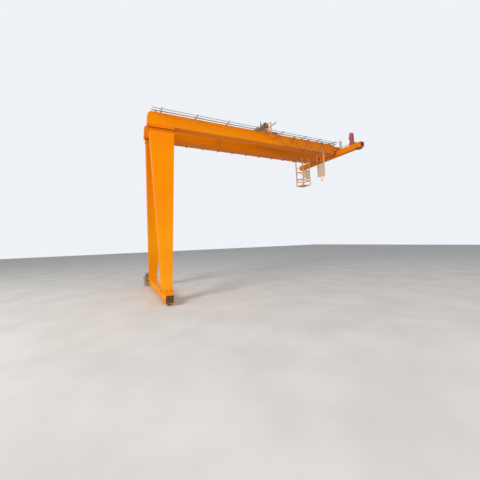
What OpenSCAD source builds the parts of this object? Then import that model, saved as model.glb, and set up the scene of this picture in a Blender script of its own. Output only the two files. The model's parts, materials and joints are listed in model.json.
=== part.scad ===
// Double-girder semi-gantry crane: two box girders, two leaning legs on a ground
// carriage, an upper carriage for a raised runway, a crab with a grooved drum,
// a hook block, and a festoon cable on arms along the near girder.
// X runs along the span from the leg side, Y along the rails, Z up.
// Heights named over_rail are measured from the top of the ground rail. The model's
// own zero is the underside of the ground carriage.

/* [Span] */
// Distance from the ground rail to the raised runway rail
span = 12150; // [10000:50:16000]
// Distance from a girder's full-depth end to the raised rail
girder_end_gap = 440; // [320:10:900]
// Length of girder that stands out past the ground rail
girder_tail = 690; // [650:10:1200]
// Distance between the two girders' centre lines
girder_gauge = 1600; // [1400:10:2200]
// Height of the girders' underside over the ground rail
underside_over_rail = 8320; // [6000:10:10000]

/* [Girder section] */
// Width over the two webs of a girder
girder_w = 500; // [360:10:600]
// Overall depth of a girder
girder_h = 660; // [560:10:900]
// Thickness of a girder's top and bottom flange plates
flange_t = 15; // [10:1:25]
// How far each flange plate stands out past the webs
flange_lip = 22; // [10:1:40]
// Size of the bevel on a girder's top corner at the leg end
end_bevel = 120; // [80:5:220]
// How far the top of a girder's shallow end lies below the girder's top
stub_step = 100; // [0:10:150]
// How far the shallow end reaches past the raised rail
stub_past = 200; // [170:10:300]
// Height of the crab rail on top of each girder
crab_rail_h = 45; // [30:1:60]
// Width of the crab rail's head
crab_rail_w = 50; // [30:1:60]

/* [Legs] */
// Distance between the two legs' centres at the feet
foot_spread = 4600; // [3800:50:5200]
// Width of a leg at its foot, seen along the rails
leg_foot_w = 410; // [320:10:600]
// Width of a leg at its top, seen along the rails
leg_top_w = 1200; // [800:10:1240]
// Thickness of a leg at its foot, seen along the span
leg_foot_t = 400; // [300:10:460]
// Thickness of a leg at its top, seen along the span
leg_top_t = 460; // [300:10:500]
// Thickness of the bolted plates at a leg's ends
joint_plate_t = 25; // [15:1:40]
// How far the bolted plates at a leg's foot stand out past it
joint_plate_lip = 50; // [35:1:60]
// Height of the collar under a girder that the leg's head is bolted to
collar_h = 80; // [40:5:150]
// Height of the recessed neck between the two plates of a leg's head
neck_h = 125; // [80:5:180]

/* [Carriages] */
// Distance from a leg's foot plate to the travel wheel's axle
wheel_out = 150; // [140:10:400]
// Distance from a travel wheel's axle to the carriage's end
carriage_end = 300; // [240:10:600]
// Width of each carriage
carriage_w = 320; // [300:10:400]
// Height of the ground carriage's box
ground_carriage_h = 330; // [280:10:420]
// Height of the runway carriage's box
runway_carriage_h = 330; // [280:10:420]
// Height of the runway carriage's top above the girders' underside
carriage_rise = 260; // [160:10:350]
// Tread diameter of a travel wheel
wheel_d = 315; // [250:5:360]
// Height of a travel wheel's two flanges
wheel_lip = 20; // [10:1:28]
// Overall width of a travel wheel
wheel_w = 110; // [80:5:130]
// Width of a travel wheel's tread between its flanges
tread_w = 70; // [40:5:80]
// Diameter of a travel wheel's axle
axle_d = 80; // [50:5:100]
// Gap from the carriage's underside down to the rail top
rail_drop = 90; // [60:5:110]
// Diameter of a buffer
buffer_d = 125; // [80:5:160]
// Length of a buffer
buffer_l = 110; // [60:5:160]

/* [Travel drives] */
// Side of the square travel gearbox
gearbox_s = 240; // [225:5:270]
// Height of the travel gearbox
gearbox_h = 230; // [180:5:260]
// Diameter of the upright motor on the ground carriage
motor_d = 220; // [140:5:225]
// Length of the upright motor on the ground carriage
motor_l = 480; // [300:10:600]
// Diameter of the upright motor on the runway carriage
runway_motor_d = 280; // [180:5:290]
// Length of the upright motor on the runway carriage
runway_motor_l = 650; // [400:10:800]
// Distance from the driven runway wheel's axle to that motor, along the rail
runway_drive_in = 450; // [300:10:700]

/* [Crab] */
// Place of the crab's centre along the span at rest
crab_x = 6350; // [5500:50:7000]
// Length of the crab's end trucks
truck_l = 1500; // [1300:10:1700]
// Height of an end truck
truck_h = 170; // [140:5:200]
// Width of an end truck
truck_w = 200; // [170:5:220]
// Distance between a truck's two wheels
crab_wheel_base = 1060; // [900:10:1150]
// Diameter of a crab wheel
crab_wheel_d = 155; // [130:5:155]
// Width of a crab wheel
crab_wheel_w = 70; // [60:2:80]
// Width of the crab's two cross members
cross_w = 140; // [100:5:180]
// Distance between the cross members' centres
cross_gap = 960; // [860:10:1000]
// Diameter of the rope drum's barrel
drum_d = 360; // [280:5:400]
// Length of the rope drum's grooved barrel
drum_l = 860; // [700:10:900]
// Height of the drum's axis above the girder top
drum_axis_up = 780; // [600:5:820]
// Distance between two rope grooves
groove_pitch = 34; // [30:1:50]
// Diameter of the hoist rope
rope_d = 14; // [10:1:18]

/* [Hook block] */
// Diameter of the block's rope sheave
sheave_d = 260; // [200:5:300]
// Width of the block's rope sheave
sheave_w = 50; // [40:1:60]
// Thickness of each of the block's cheek plates
cheek_t = 22; // [12:1:30]
// Height of the sheave's axis above the girder top when the block is fully up
sheave_axis_up = 120; // [90:5:160]
// Inner diameter of the hook's bowl
hook_bowl_d = 120; // [90:5:140]
// Thickness of the hook
hook_t = 46; // [36:1:56]

/* [Festoon] */
// Distance from the girder's outer web to the festoon track
track_out = 230; // [200:10:500]
// Height and width of the festoon track channel
track_s = 40; // [30:1:50]
// Distance from the track to the cable conduit outside it
conduit_out = 240; // [120:5:300]
// Diameter of the cable conduit
conduit_d = 34; // [20:1:40]
// Diameter of the festoon cable
cable_d = 28; // [20:1:32]
// Distance from a girder's full-depth end back to the cable's fixed end clamp
clamp_from_end = 160; // [120:10:700]
// Spacing of the festoon arms
arm_pitch = 1790; // [1500:10:2000]

/* [Service frames] */
// Distance from a girder's full-depth end back to the service ladder
ladder_from_end = 1610; // [1200:10:2200]
// Width of the ladder over its rails
ladder_w = 750; // [500:10:800]
// Spacing of the ladder's rungs
rung_pitch = 440; // [300:10:480]
// Side of the square tube of the service frames
frame_tube = 50; // [40:1:60]
// Height of the ladder below the girder
ladder_h = 1990; // [1500:10:2200]
// Width of the walkway beside the far girder
walkway_w = 650; // [500:10:900]
// Height of the walkway's deck above the girder's underside
walkway_up = 130; // [120:5:400]
// Spacing of the walkway's brackets
bracket_pitch = 1050; // [800:10:1500]
// Height of the railing above the walkway's deck
railing_h = 1050; // [900:10:1200]

/* [Hidden] */
$fn = 64;
eps = 1;
// Heights in the model's own frame
rail_top = -rail_drop;
girder_z0 = rail_top + underside_over_rail;
girder_z1 = girder_z0 + girder_h;
crab_rail_z = girder_z1 + crab_rail_h;
runway_z1 = girder_z0 + carriage_rise;
runway_z0 = runway_z1 - runway_carriage_h;
girder_y = girder_gauge / 2;
web_y = girder_y + girder_w / 2;
girder_x0 = -girder_tail;
girder_x1 = span - girder_end_gap;
girder_l = girder_x1 - girder_x0;
leg_z0 = ground_carriage_h + 2 * joint_plate_t;
leg_z1 = girder_z0 - collar_h - neck_h - 2 * joint_plate_t;
foot_y = foot_spread / 2;
foot_plate_half = leg_foot_t / 2 + joint_plate_lip;
wheel_y = foot_y + foot_plate_half + wheel_out;
wheel_z = wheel_d / 2 - rail_drop;
wheel_flange_d = wheel_d + 2 * wheel_lip;
carriage_l = 2 * (wheel_y + carriage_end);
axle_gap = 0.5;
pocket_gap = 12;
seat_gap = 0.3;

// Welded box girder with a bevelled end and a shallow end that sits on the runway carriage
module girder(side) {
    section_w = girder_w + 2 * flange_lip;
    stub_l = span + stub_past - girder_x1;
    stub_h = girder_z1 - stub_step - runway_z1;
    translate([0, side * girder_y, 0]) {
        intersection() {
            rotate([90, 0, 0]) linear_extrude(section_w, center = true)
                polygon([[girder_x0, girder_z0], [girder_x1, girder_z0], [girder_x1, girder_z1],
                    [girder_x0 + end_bevel, girder_z1], [girder_x0, girder_z1 - end_bevel]]);
            union() {
                translate([girder_x0, -girder_w / 2, girder_z0]) cube([girder_l, girder_w, girder_h]);
                for (z = [girder_z0, girder_z1 - flange_t])
                    translate([girder_x0, -section_w / 2, z]) cube([girder_l, section_w, flange_t]);
            }
        }
        translate([girder_x1, -girder_w / 2, runway_z1]) cube([stub_l, girder_w, stub_h]);
        for (z = [runway_z1, runway_z1 + stub_h - flange_t])
            translate([girder_x1, -section_w / 2, z]) cube([stub_l, section_w, flange_t]);
    }
}
module near_girder() { color("orange") girder(-1); }
module far_girder() { color("orange") girder(1); }

// Tie beam between the girders over the legs
tie_w = 300;
tie_h = girder_h - 300;
module leg_end_tie() {
    color("orange") translate([-tie_w / 2, -girder_y + girder_w / 2, girder_z0 + (girder_h - tie_h) / 2])
        cube([tie_w, girder_gauge - girder_w, tie_h]);
}

// Small upright gusset that stands on a leg's foot plate
gusset_h = 130;
gusset_w = 40;
gusset_t = 12;
gusset_toe = 26;
gusset_gap = 180;
gusset_root = 60;
module gusset() {
    rotate([90, 0, 0]) linear_extrude(gusset_t, center = true)
        polygon([[-gusset_root, 0], [gusset_w, 0], [gusset_w, gusset_toe], [0, gusset_h],
            [-gusset_root, gusset_h]]);
}
// One leg: its wide face tapers from the foot to the girder, and it leans in
head_lip = 25;
neck_in = 45;
module leg(side) {
    leg_h = leg_z1 - leg_z0;
    foot_plate = [leg_foot_w + 2 * joint_plate_lip, leg_foot_t + 2 * joint_plate_lip];
    head_plate = [leg_top_w + 2 * head_lip, girder_w + 2 * flange_lip];
    for (a = [0, 180]) for (e = [-1, 1])
        translate([0, side * foot_y, leg_z0]) rotate([0, 0, a]) {
            translate([leg_foot_w / 2, e * gusset_gap / 2, 0]) gusset();
            translate([e * gusset_gap / 2, leg_foot_t / 2, 0]) rotate([0, 0, 90]) gusset();
        }
    intersection() {
        translate([0, side * (foot_y + girder_y) / 2, leg_z0]) rotate([90, 0, 0])
            linear_extrude(foot_spread, center = true)
                polygon([[-leg_foot_w / 2, 0], [leg_foot_w / 2, 0], [leg_top_w / 2, leg_h],
                    [-leg_top_w / 2, leg_h]]);
        translate([0, 0, leg_z0]) rotate([90, 0, 90])
            linear_extrude(2 * leg_top_w, center = true)
                polygon([[side * foot_y - leg_foot_t / 2, 0], [side * foot_y + leg_foot_t / 2, 0],
                    [side * girder_y + leg_top_t / 2, leg_h], [side * girder_y - leg_top_t / 2, leg_h]]);
    }
    translate([-foot_plate[0] / 2, side * foot_y - foot_plate[1] / 2, leg_z0 - joint_plate_t])
        cube([foot_plate[0], foot_plate[1], joint_plate_t]);
    // Head: a recessed neck between two plates, and the collar that the girder sits on
    translate([0, side * girder_y, leg_z1]) {
        for (z = [0, joint_plate_t + neck_h])
            translate([-head_plate[0] / 2, -head_plate[1] / 2, z])
                cube([head_plate[0], head_plate[1], joint_plate_t]);
        translate([neck_in - leg_top_w / 2, neck_in - girder_w / 2, joint_plate_t])
            cube([leg_top_w - 2 * neck_in, girder_w - 2 * neck_in, neck_h]);
        translate([-leg_top_w / 2, -girder_w / 2, neck_h + 2 * joint_plate_t])
            cube([leg_top_w, girder_w, collar_h]);
    }
}
module near_leg() { color("orange") leg(-1); }
module far_leg() { color("orange") leg(1); }

// Carriage box with an open pocket and an axle bore at each wheel
module carriage(h, axle_z) {
    pocket_w = wheel_w + 2 * pocket_gap;
    pocket_r = wheel_flange_d / 2 + pocket_gap;
    difference() {
        translate([-carriage_w / 2, -carriage_l / 2, 0]) cube([carriage_w, carriage_l, h]);
        for (s = [-1, 1]) {
            translate([0, s * wheel_y, axle_z]) rotate([0, 90, 0])
                cylinder(r = pocket_r, h = pocket_w, center = true);
            translate([-pocket_w / 2, s * wheel_y - pocket_r, -eps])
                cube([pocket_w, 2 * pocket_r, axle_z + eps]);
            translate([0, s * wheel_y, axle_z]) rotate([0, 90, 0])
                cylinder(d = axle_d + 2 * axle_gap, h = carriage_w + 2 * eps, center = true);
        }
    }
}
module ground_carriage() {
    color("orange") carriage(ground_carriage_h, wheel_z);
    color("orange") for (s = [-1, 1])
        translate([-(leg_foot_w / 2 + joint_plate_lip), s * foot_y - foot_plate_half, ground_carriage_h])
            cube([leg_foot_w + 2 * joint_plate_lip, 2 * foot_plate_half, joint_plate_t]);
}
module runway_carriage() {
    color("orange") translate([span, 0, runway_z0]) carriage(runway_carriage_h, wheel_z);
}

// Crab rails along the tops of both girders
rail_end_gap = 100;
module crab_rails() {
    color("dimgray") for (s = [-1, 1])
        translate([girder_x0 + end_bevel + rail_end_gap, s * girder_y - crab_rail_w / 2, girder_z1])
            cube([girder_l - end_bevel - 2 * rail_end_gap, crab_rail_w, crab_rail_h]);
}

// Bolted splice plate on the far girder's inner web
splice_from_end = 4300;
splice_x = girder_x0 + splice_from_end;
splice_w = 400;
module girder_splice() {
    color("darkorange") translate([splice_x - splice_w / 2, girder_y - girder_w / 2 - joint_plate_t / 2,
        girder_z0 + 2 * flange_t]) cube([splice_w, joint_plate_t / 2, girder_h - 4 * flange_t]);
}

// Double-flanged travel wheel turned on its own axle
axle_end = carriage_w / 2 + 10;
flange_slope = 6;
module travel_wheel() {
    tread_r = wheel_d / 2;
    rim_r = wheel_flange_d / 2;
    rim_x = tread_w / 2 + flange_slope;
    rotate([0, 90, 0]) {
        rotate_extrude() polygon([[0, -wheel_w / 2], [rim_r, -wheel_w / 2], [rim_r, -rim_x],
            [tread_r, -tread_w / 2], [tread_r, tread_w / 2], [rim_r, rim_x], [rim_r, wheel_w / 2],
            [0, wheel_w / 2]]);
        cylinder(d = axle_d, h = 2 * axle_end, center = true);
    }
}
module ground_wheel_near() { color("dimgray") translate([0, -wheel_y, wheel_z]) travel_wheel(); }
module ground_wheel_far() { color("dimgray") translate([0, wheel_y, wheel_z]) travel_wheel(); }
module runway_wheel_near() {
    color("dimgray") translate([span, -wheel_y, runway_z0 + wheel_z]) travel_wheel();
}
module runway_wheel_far() {
    color("dimgray") translate([span, wheel_y, runway_z0 + wheel_z]) travel_wheel();
}

// Bevel gearbox on the ground carriage's outer side, at the far wheel's axle
drive_gap = 6;
foot_h = 50;
cover_d = 60;
cover_deep = 20;
ground_drive_x = -axle_end - drive_gap - gearbox_s / 2;
module ground_gearbox() {
    color("goldenrod") translate([ground_drive_x, wheel_y, wheel_z]) {
        difference() {
            cube([gearbox_s, gearbox_s, gearbox_h], center = true);
            translate([-gearbox_s / 2 - eps, 0, 0]) rotate([0, 90, 0])
                cylinder(d = cover_d, h = cover_deep);
        }
        // Torque foot bolted to the carriage above the axle's end
        translate([gearbox_s / 2, -gearbox_s / 2, gearbox_h / 2 - foot_h])
            cube([axle_end + drive_gap - carriage_w / 2, gearbox_s, foot_h]);
    }
}
// Upright motor: a spigot, a ribbed housing and a narrower fan cowl
spigot_h = 30;
cowl_h = 80;
module drive_motor(d, l) {
    cylinder(d = d * 0.8, h = spigot_h);
    translate([0, 0, spigot_h]) cylinder(d = d, h = l - spigot_h - cowl_h);
    translate([0, 0, l - cowl_h]) cylinder(d = d * 0.94, h = cowl_h);
}
module ground_motor() {
    color("slategray") translate([ground_drive_x, wheel_y, wheel_z + gearbox_h / 2])
        drive_motor(motor_d, motor_l);
}
// Gearbox on top of the runway carriage, with a gear case down to the near wheel's axle
runway_drive_y = wheel_y - runway_drive_in;
case_t = 90;
case_r = 100;
module runway_gearbox() {
    case_x = axle_end + drive_gap;
    axle_z = wheel_z - runway_carriage_h;
    color("firebrick") translate([span, 0, runway_z1]) {
        translate([-gearbox_s / 2, -runway_drive_y - gearbox_s / 2, 0])
            cube([gearbox_s / 2 + case_x, gearbox_s, gearbox_h]);
        translate([case_x, 0, 0]) rotate([90, 0, 90]) linear_extrude(case_t) polygon([
            [-wheel_y - case_r, axle_z - case_r], [-wheel_y + case_r, axle_z - case_r],
            [-runway_drive_y + gearbox_s / 2, 0], [-runway_drive_y + gearbox_s / 2, gearbox_h],
            [-runway_drive_y - gearbox_s / 2, gearbox_h], [-wheel_y - case_r, axle_z + case_r]]);
    }
}
module runway_motor() {
    color("firebrick") translate([span, -runway_drive_y, runway_z1 + gearbox_h])
        drive_motor(runway_motor_d, runway_motor_l);
}

// Upright pipe on the runway carriage, with a foot that runs to the drive
pipe_d = 60;
pipe_foot_d = 50;
pipe_h = 670;
pipe_foot_up = 150;
pipe_from_girder = 230;
module drive_cable_pipe() {
    pipe_y = -web_y - flange_lip - pipe_from_girder;
    color("tan") translate([span, 0, runway_z1]) {
        translate([0, pipe_y, 0]) cylinder(d = pipe_d, h = pipe_h);
        translate([0, -runway_drive_y + gearbox_s / 2, pipe_foot_up]) rotate([-90, 0, 0])
            cylinder(d = pipe_foot_d, h = runway_drive_y - gearbox_s / 2 + pipe_y);
    }
}

// Rubber buffers on the ends of a carriage
buffer_nose = 30;
buffer_up = 0.68;
module buffers(z) {
    for (s = [-1, 1]) translate([0, s * carriage_l / 2, z]) rotate([-s * 90, 0, 0]) {
        cylinder(d = buffer_d, h = buffer_l - buffer_nose);
        translate([0, 0, buffer_l - buffer_nose])
            cylinder(d1 = buffer_d, d2 = buffer_d - buffer_nose, h = buffer_nose);
    }
}
module ground_buffers() { color("black") buffers(ground_carriage_h * buffer_up); }
module runway_buffers() {
    color("black") translate([span, 0, 0]) buffers(runway_z0 + runway_carriage_h * buffer_up);
}

// Cantilever arms on the near girder's top flange
track_y = -(web_y + track_out);
conduit_y = track_y - conduit_out;
arm_s = 36;
arm_past = 50;
arm_root = 80;
arm_len = arm_past + conduit_out + track_out + arm_root;
first_arm_in = 610;
last_arms_in = [1600, 320];
arm_x0 = girder_x0 + first_arm_in;
end_arms = [girder_x1 - last_arms_in[0], girder_x1 - last_arms_in[1]];
arm_places = concat([for (x = [arm_x0:arm_pitch:end_arms[0] - arm_pitch / 2]) x], end_arms);
module festoon_arms() {
    color("gray") for (x = arm_places)
        translate([x - arm_s / 2, conduit_y - arm_past, girder_z1]) cube([arm_s, arm_len, arm_s]);
}
clamp_x = girder_x1 - clamp_from_end;
track_past = 120;
track_x0 = girder_x0 + 150;
track_l = clamp_x + track_past - track_x0;
track_z1 = girder_z1;
track_t = 3;
slot_w = 18;
module festoon_track() {
    cut_l = track_l + 2 * eps;
    inside = track_s - 2 * track_t;
    color("gray") translate([track_x0, track_y - track_s / 2, track_z1 - track_s]) difference() {
        cube([track_l, track_s, track_s]);
        translate([-eps, track_t, track_t]) cube([cut_l, inside, inside]);
        translate([-eps, (track_s - slot_w) / 2, -eps]) cube([cut_l, slot_w, 2 * track_t]);
    }
}
module cable_conduit() {
    color("gray") translate([track_x0, conduit_y, girder_z1 - conduit_d / 2]) rotate([0, 90, 0])
        cylinder(d = conduit_d, h = track_l);
}

// Cable carriers that hang under the track and hold the cable in a saddle
stem_h = 70;
stem_t = 6;
stem_w = 10;
head_l = 80;
head_w = 26;
head_h = 10;
saddle_r = 60;
saddle_w = 60;
saddle_end = 40;
carrier_z = track_z1 - track_s - stem_h;
head_z = carrier_z + stem_h + track_t + seat_gap;
module cable_carrier(x) {
    translate([x, track_y, 0]) {
        translate([-stem_w / 2, -stem_t / 2, carrier_z])
            cube([stem_w, stem_t, head_z + head_h - carrier_z]);
        translate([-head_l / 2, -head_w / 2, head_z]) cube([head_l, head_w, head_h]);
        translate([0, 0, carrier_z]) rotate([90, 0, 0]) intersection() {
            cylinder(r = saddle_r, h = saddle_w, center = true);
            translate([-saddle_r, 0, -saddle_w / 2]) cube([2 * saddle_r, saddle_r, saddle_w]);
        }
    }
}
lead_in = 600;
lead_x = crab_x + lead_in;
carrier_pitch = (clamp_x - lead_x) / 4;
module lead_carrier() { color("gold") cable_carrier(lead_x); }
module cable_carrier_1() { color("gray") cable_carrier(lead_x + carrier_pitch); }
module cable_carrier_2() { color("gray") cable_carrier(lead_x + 2 * carrier_pitch); }
module cable_carrier_3() { color("gray") cable_carrier(lead_x + 3 * carrier_pitch); }
module festoon_end_clamp() { color("gray") cable_carrier(clamp_x); }

// Route of one hanging loop from carrier to carrier, and of the short lead from the tow arm
loop_route = [[40, 0], [40, -50], [50, -110], [85, -200], [150, -330], [235, -480], [335, -615],
    [450, -715], [575, -755], [700, -715], [815, -615], [915, -480], [1000, -330], [1065, -200],
    [1100, -110], [1110, -50], [1110, 0]];
loop_l = 1070;
loop_stretch = (carrier_pitch - 2 * saddle_end) / loop_l;
loop_depths = [0.91, 1.03, 1.03, 0.91];
lead_route = [[0, 0], [0, -50], [20, -115], [90, -205], [200, -265], [345, -295], [485, -295],
    [630, -265], [740, -205], [810, -115], [830, -50], [830, 0]];
lead_l = 830;
cable_fn = 8;
// Swept tube in an upright plane: rings square to the route, closed at both ends
module cable(route) {
    n = len(route);
    function along(i) = let (a = route[max(i - 1, 0)], b = route[min(i + 1, n - 1)])
        (b - a) / norm(b - a);
    ring_points = [for (i = [0:n - 1]) let (t = along(i)) for (k = [0:cable_fn - 1])
        let (a = 360 * k / cable_fn, r = cable_d / 2)
        [route[i][0] - t[1] * r * sin(a), r * cos(a), route[i][1] + t[0] * r * sin(a)]];
    sides = [for (i = [0:n - 2]) for (k = [0:cable_fn - 1]) let (m = (k + 1) % cable_fn)
        [i * cable_fn + k, i * cable_fn + m, (i + 1) * cable_fn + m, (i + 1) * cable_fn + k]];
    first = [for (k = [cable_fn - 1:-1:0]) k];
    last = [for (k = [0:cable_fn - 1]) (n - 1) * cable_fn + k];
    polyhedron(points = ring_points, faces = concat(sides, [first, last]));
}
module cable_loop(i) {
    stretched = [for (q = loop_route) [saddle_end + (q[0] - saddle_end) * loop_stretch,
        q[1] * loop_depths[i]]];
    color("dimgray") translate([lead_x + i * carrier_pitch, track_y, carrier_z]) cable(stretched);
}
module cable_loop_1() { cable_loop(0); }
module cable_loop_2() { cable_loop(1); }
module cable_loop_3() { cable_loop(2); }
module cable_loop_4() { cable_loop(3); }
module cable_lead() { color("dimgray") translate([tow_x, track_y, carrier_z]) cable(lead_route); }

// Crab frame: two end trucks over the crab rails and two cross members
truck_gap = 10;
truck_z0 = crab_rail_z + truck_gap;
truck_z1 = truck_z0 + truck_h;
crab_axle_z = crab_rail_z + crab_wheel_d / 2 + seat_gap;
cross_z0 = truck_z0;
drum_x = crab_x + drum_d / 2 + rope_d / 2 + seat_gap;
drum_z = girder_z1 + drum_axis_up;
pedestal_t = 40;
pedestal_out = 30;
pedestal_foot = 340;
pedestal_head = 120;
wheel_well = [30, 20, 10];
switch_post = [50, 50, 475];
switch_post_in = 300;
module crab_frame() {
    well_l = crab_wheel_d + wheel_well[0];
    well_w = crab_wheel_w + wheel_well[1];
    pedestal_y = drum_l / 2 + pedestal_out;
    pedestal_z1 = drum_z + pedestal_head / 2;
    switch_x = crab_x - truck_l / 2 + switch_post_in;
    color("saddlebrown") {
        for (s = [-1, 1]) translate([crab_x, s * girder_y, 0]) difference() {
            translate([-truck_l / 2, -truck_w / 2, truck_z0]) cube([truck_l, truck_w, truck_h]);
            for (e = [-1, 1])
                translate([e * crab_wheel_base / 2 - well_l / 2, -well_w / 2, truck_z0 - eps])
                    cube([well_l, well_w, truck_h - wheel_well[2]]);
        }
        for (e = [-1, 1])
            translate([crab_x + e * cross_gap / 2 - cross_w / 2, -girder_y + truck_w / 2, cross_z0])
                cube([cross_w, girder_gauge - truck_w, truck_h]);
        // Pedestals that carry the drum, on beams between the cross members
        for (s = [-1, 1]) {
            translate([crab_x - cross_gap / 2 + cross_w / 2, s * pedestal_y - pedestal_t / 2, cross_z0])
                cube([cross_gap - cross_w, pedestal_t, truck_h]);
            translate([drum_x, s * pedestal_y, 0]) rotate([90, 0, 0])
                linear_extrude(pedestal_t, center = true)
                    polygon([[-pedestal_foot / 2, truck_z1], [pedestal_foot / 2, truck_z1],
                        [pedestal_head / 2, pedestal_z1], [-pedestal_head / 2, pedestal_z1]]);
        }
        // Limit switch post on the near truck
        translate([switch_x, -girder_y - switch_post[1] / 2, truck_z1]) cube(switch_post);
    }
}
crab_axle_d = 50;
module crab_wheels() {
    color("dimgray") for (s = [-1, 1]) for (e = [-1, 1])
        translate([crab_x + e * crab_wheel_base / 2, s * girder_y, crab_axle_z]) rotate([90, 0, 0]) {
            cylinder(d = crab_wheel_d, h = crab_wheel_w, center = true);
            cylinder(d = crab_axle_d, h = crab_wheel_w + wheel_well[1], center = true);
        }
}

// Grooved rope drum with end flanges, seated between its pedestals
drum_flange_h = 50;
drum_flange_t = 20;
drum_hub_r = 60;
drum_hub_out = 10;
rope_groove = [3, 8];
groove_count = floor((drum_l / 2 - drum_hub_r) / groove_pitch);
module hoist_drum() {
    half = drum_l / 2;
    end = half + drum_hub_out;
    r = drum_d / 2;
    flange_r = r + drum_flange_h;
    grooves = [for (i = [0:2 * groove_count - 1])
        let (y = (i - groove_count) * groove_pitch)
        each [[r, y + rope_groove[0]], [r - rope_groove[1], y + groove_pitch / 2],
            [r, y + groove_pitch - rope_groove[0]]]];
    color("dimgray") translate([drum_x, 0, drum_z]) rotate([90, 0, 0]) rotate_extrude()
        polygon(concat([[0, -end], [drum_hub_r, -end], [drum_hub_r, -half], [flange_r, -half],
            [flange_r, -half + drum_flange_t], [r, -half + drum_flange_t]], grooves,
            [[r, half - drum_flange_t], [flange_r, half - drum_flange_t], [flange_r, half],
            [drum_hub_r, half], [drum_hub_r, end], [0, end]]));
}
hoist_box = [360, 150, 420];
hoist_box_down = 230;
hoist_motor_d = 240;
hoist_motor_l = 420;
hoist_y = drum_l / 2 + pedestal_out + pedestal_t / 2;
module hoist_gearbox() {
    color("steelblue") translate([drum_x - hoist_box[0] / 2, hoist_y, drum_z - hoist_box_down])
        cube(hoist_box);
}
module hoist_motor() {
    color("steelblue") translate([drum_x + hoist_box[0] / 2, hoist_y + hoist_box[1] / 2, drum_z])
        rotate([0, 90, 0]) drive_motor(hoist_motor_d, hoist_motor_l);
}

// Bar that reaches out over the festoon arms, with a post and a foot that pulls the cable
tow_tube = 40;
tow_x = lead_x - saddle_end - lead_l;
tow_clear = 50;
tow_reach = 600;
tow_bar_up = 45;
tow_post_over = 290;
tow_post_under = 180;
tow_y = conduit_y - arm_past - tow_clear;
tow_bar_z = truck_z0 + tow_bar_up;
module tow_arm() {
    bar_y0 = tow_y - tow_reach;
    bar_y1 = -girder_y - truck_w / 2;
    post_z0 = carrier_z - tow_post_under;
    post_z1 = tow_bar_z + tow_tube + tow_post_over;
    color("darkorange") translate([tow_x - tow_tube / 2, 0, 0]) {
        translate([0, bar_y0, tow_bar_z]) cube([tow_tube, bar_y1 - bar_y0, tow_tube]);
        translate([0, tow_y - tow_tube, post_z0]) cube([tow_tube, tow_tube, post_z1 - post_z0]);
        translate([0, tow_y - tow_tube, carrier_z])
            cube([tow_tube, track_y + tow_tube / 2 - tow_y + tow_tube, tow_tube]);
    }
}

// Rope falls from the drum to the block's sheave
sheave_z = girder_z1 + sheave_axis_up;
groove_d = 2;
fall_y = sheave_d / 2 - groove_d + seat_gap;
module hoist_ropes() {
    color("gray") for (s = [-1, 1])
        translate([crab_x, s * (fall_y + rope_d / 2), sheave_z])
            cylinder(d = rope_d, h = drum_z - sheave_z, $fn = 12);
}

// Hook block: a grooved sheave between two cheek plates, and a crosshead below
cheek_gap = 8;
cheek_top = [70, 100];
cheek_side = [110, 20, -60];
cheek_foot = [65, 50];
block_pin_d = 60;
block_pin_out = 15;
sheave_bore_r = 20;
sheave_rim_h = 16;
sheave_rim_t = 6;
crosshead_d = 90;
crosshead_drop = sheave_d / 2 + 90;
block_w = sheave_w + 2 * cheek_gap + 2 * cheek_t;
cheek_half = [[cheek_top[0], cheek_top[1]], [cheek_side[0], cheek_side[1]],
    [cheek_side[0], cheek_side[2]], [cheek_foot[0], -crosshead_drop - cheek_foot[1]]];
module hook_block() {
    rim_r = sheave_d / 2 + sheave_rim_h;
    groove_r = sheave_d / 2 - groove_d;
    rim_x = sheave_w / 2 - sheave_rim_t;
    color("gold") translate([crab_x, 0, sheave_z]) {
        for (s = [-1, 1]) translate([s * (block_w - cheek_t) / 2, 0, 0]) rotate([90, 0, 90])
            linear_extrude(cheek_t, center = true)
                polygon(concat(cheek_half, [for (i = [len(cheek_half) - 1:-1:0])
                    [-cheek_half[i][0], cheek_half[i][1]]]));
        rotate([0, 90, 0]) {
            cylinder(d = block_pin_d, h = block_w + 2 * block_pin_out, center = true);
            rotate_extrude() polygon([[sheave_bore_r, -sheave_w / 2], [rim_r, -sheave_w / 2],
                [rim_r, -rim_x], [groove_r, -sheave_rim_t], [groove_r, sheave_rim_t], [rim_r, rim_x],
                [rim_r, sheave_w / 2], [sheave_bore_r, sheave_w / 2]]);
        }
        translate([0, 0, -crosshead_drop]) rotate([0, 90, 0])
            cylinder(d = crosshead_d, h = block_w - 2 * cheek_t, center = true);
    }
}
hook_z = sheave_z - crosshead_drop - crosshead_d / 2;
hook_shank = 50;
hook_body = 1.5;
module hook() {
    bowl_r = hook_bowl_d / 2;
    body = hook_t * hook_body;
    mouth = 2 * hook_bowl_d;
    color("dimgray") translate([crab_x, 0, hook_z]) {
        translate([0, 0, -hook_shank - body / 2]) cylinder(d = hook_t, h = hook_shank + body / 2);
        translate([0, 0, -hook_shank - bowl_r - body]) rotate([90, 0, 90])
            linear_extrude(hook_t, center = true) difference() {
                circle(r = bowl_r + body);
                circle(r = bowl_r);
                polygon([[0, 0], [mouth, -bowl_r * 0.1], [mouth, mouth], [bowl_r * 0.6, mouth]]);
            }
    }
}

// Two posts under a top rail that is bolted to a girder's underside
module frame_posts(w, z0, h) {
    for (s = [-1, 1]) translate([-frame_tube / 2, s * (w - frame_tube) / 2 - frame_tube / 2, z0])
        cube([frame_tube, frame_tube, h]);
    translate([-frame_tube / 2, -w / 2, z0 + h - frame_tube]) cube([frame_tube, w, frame_tube]);
}
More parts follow.
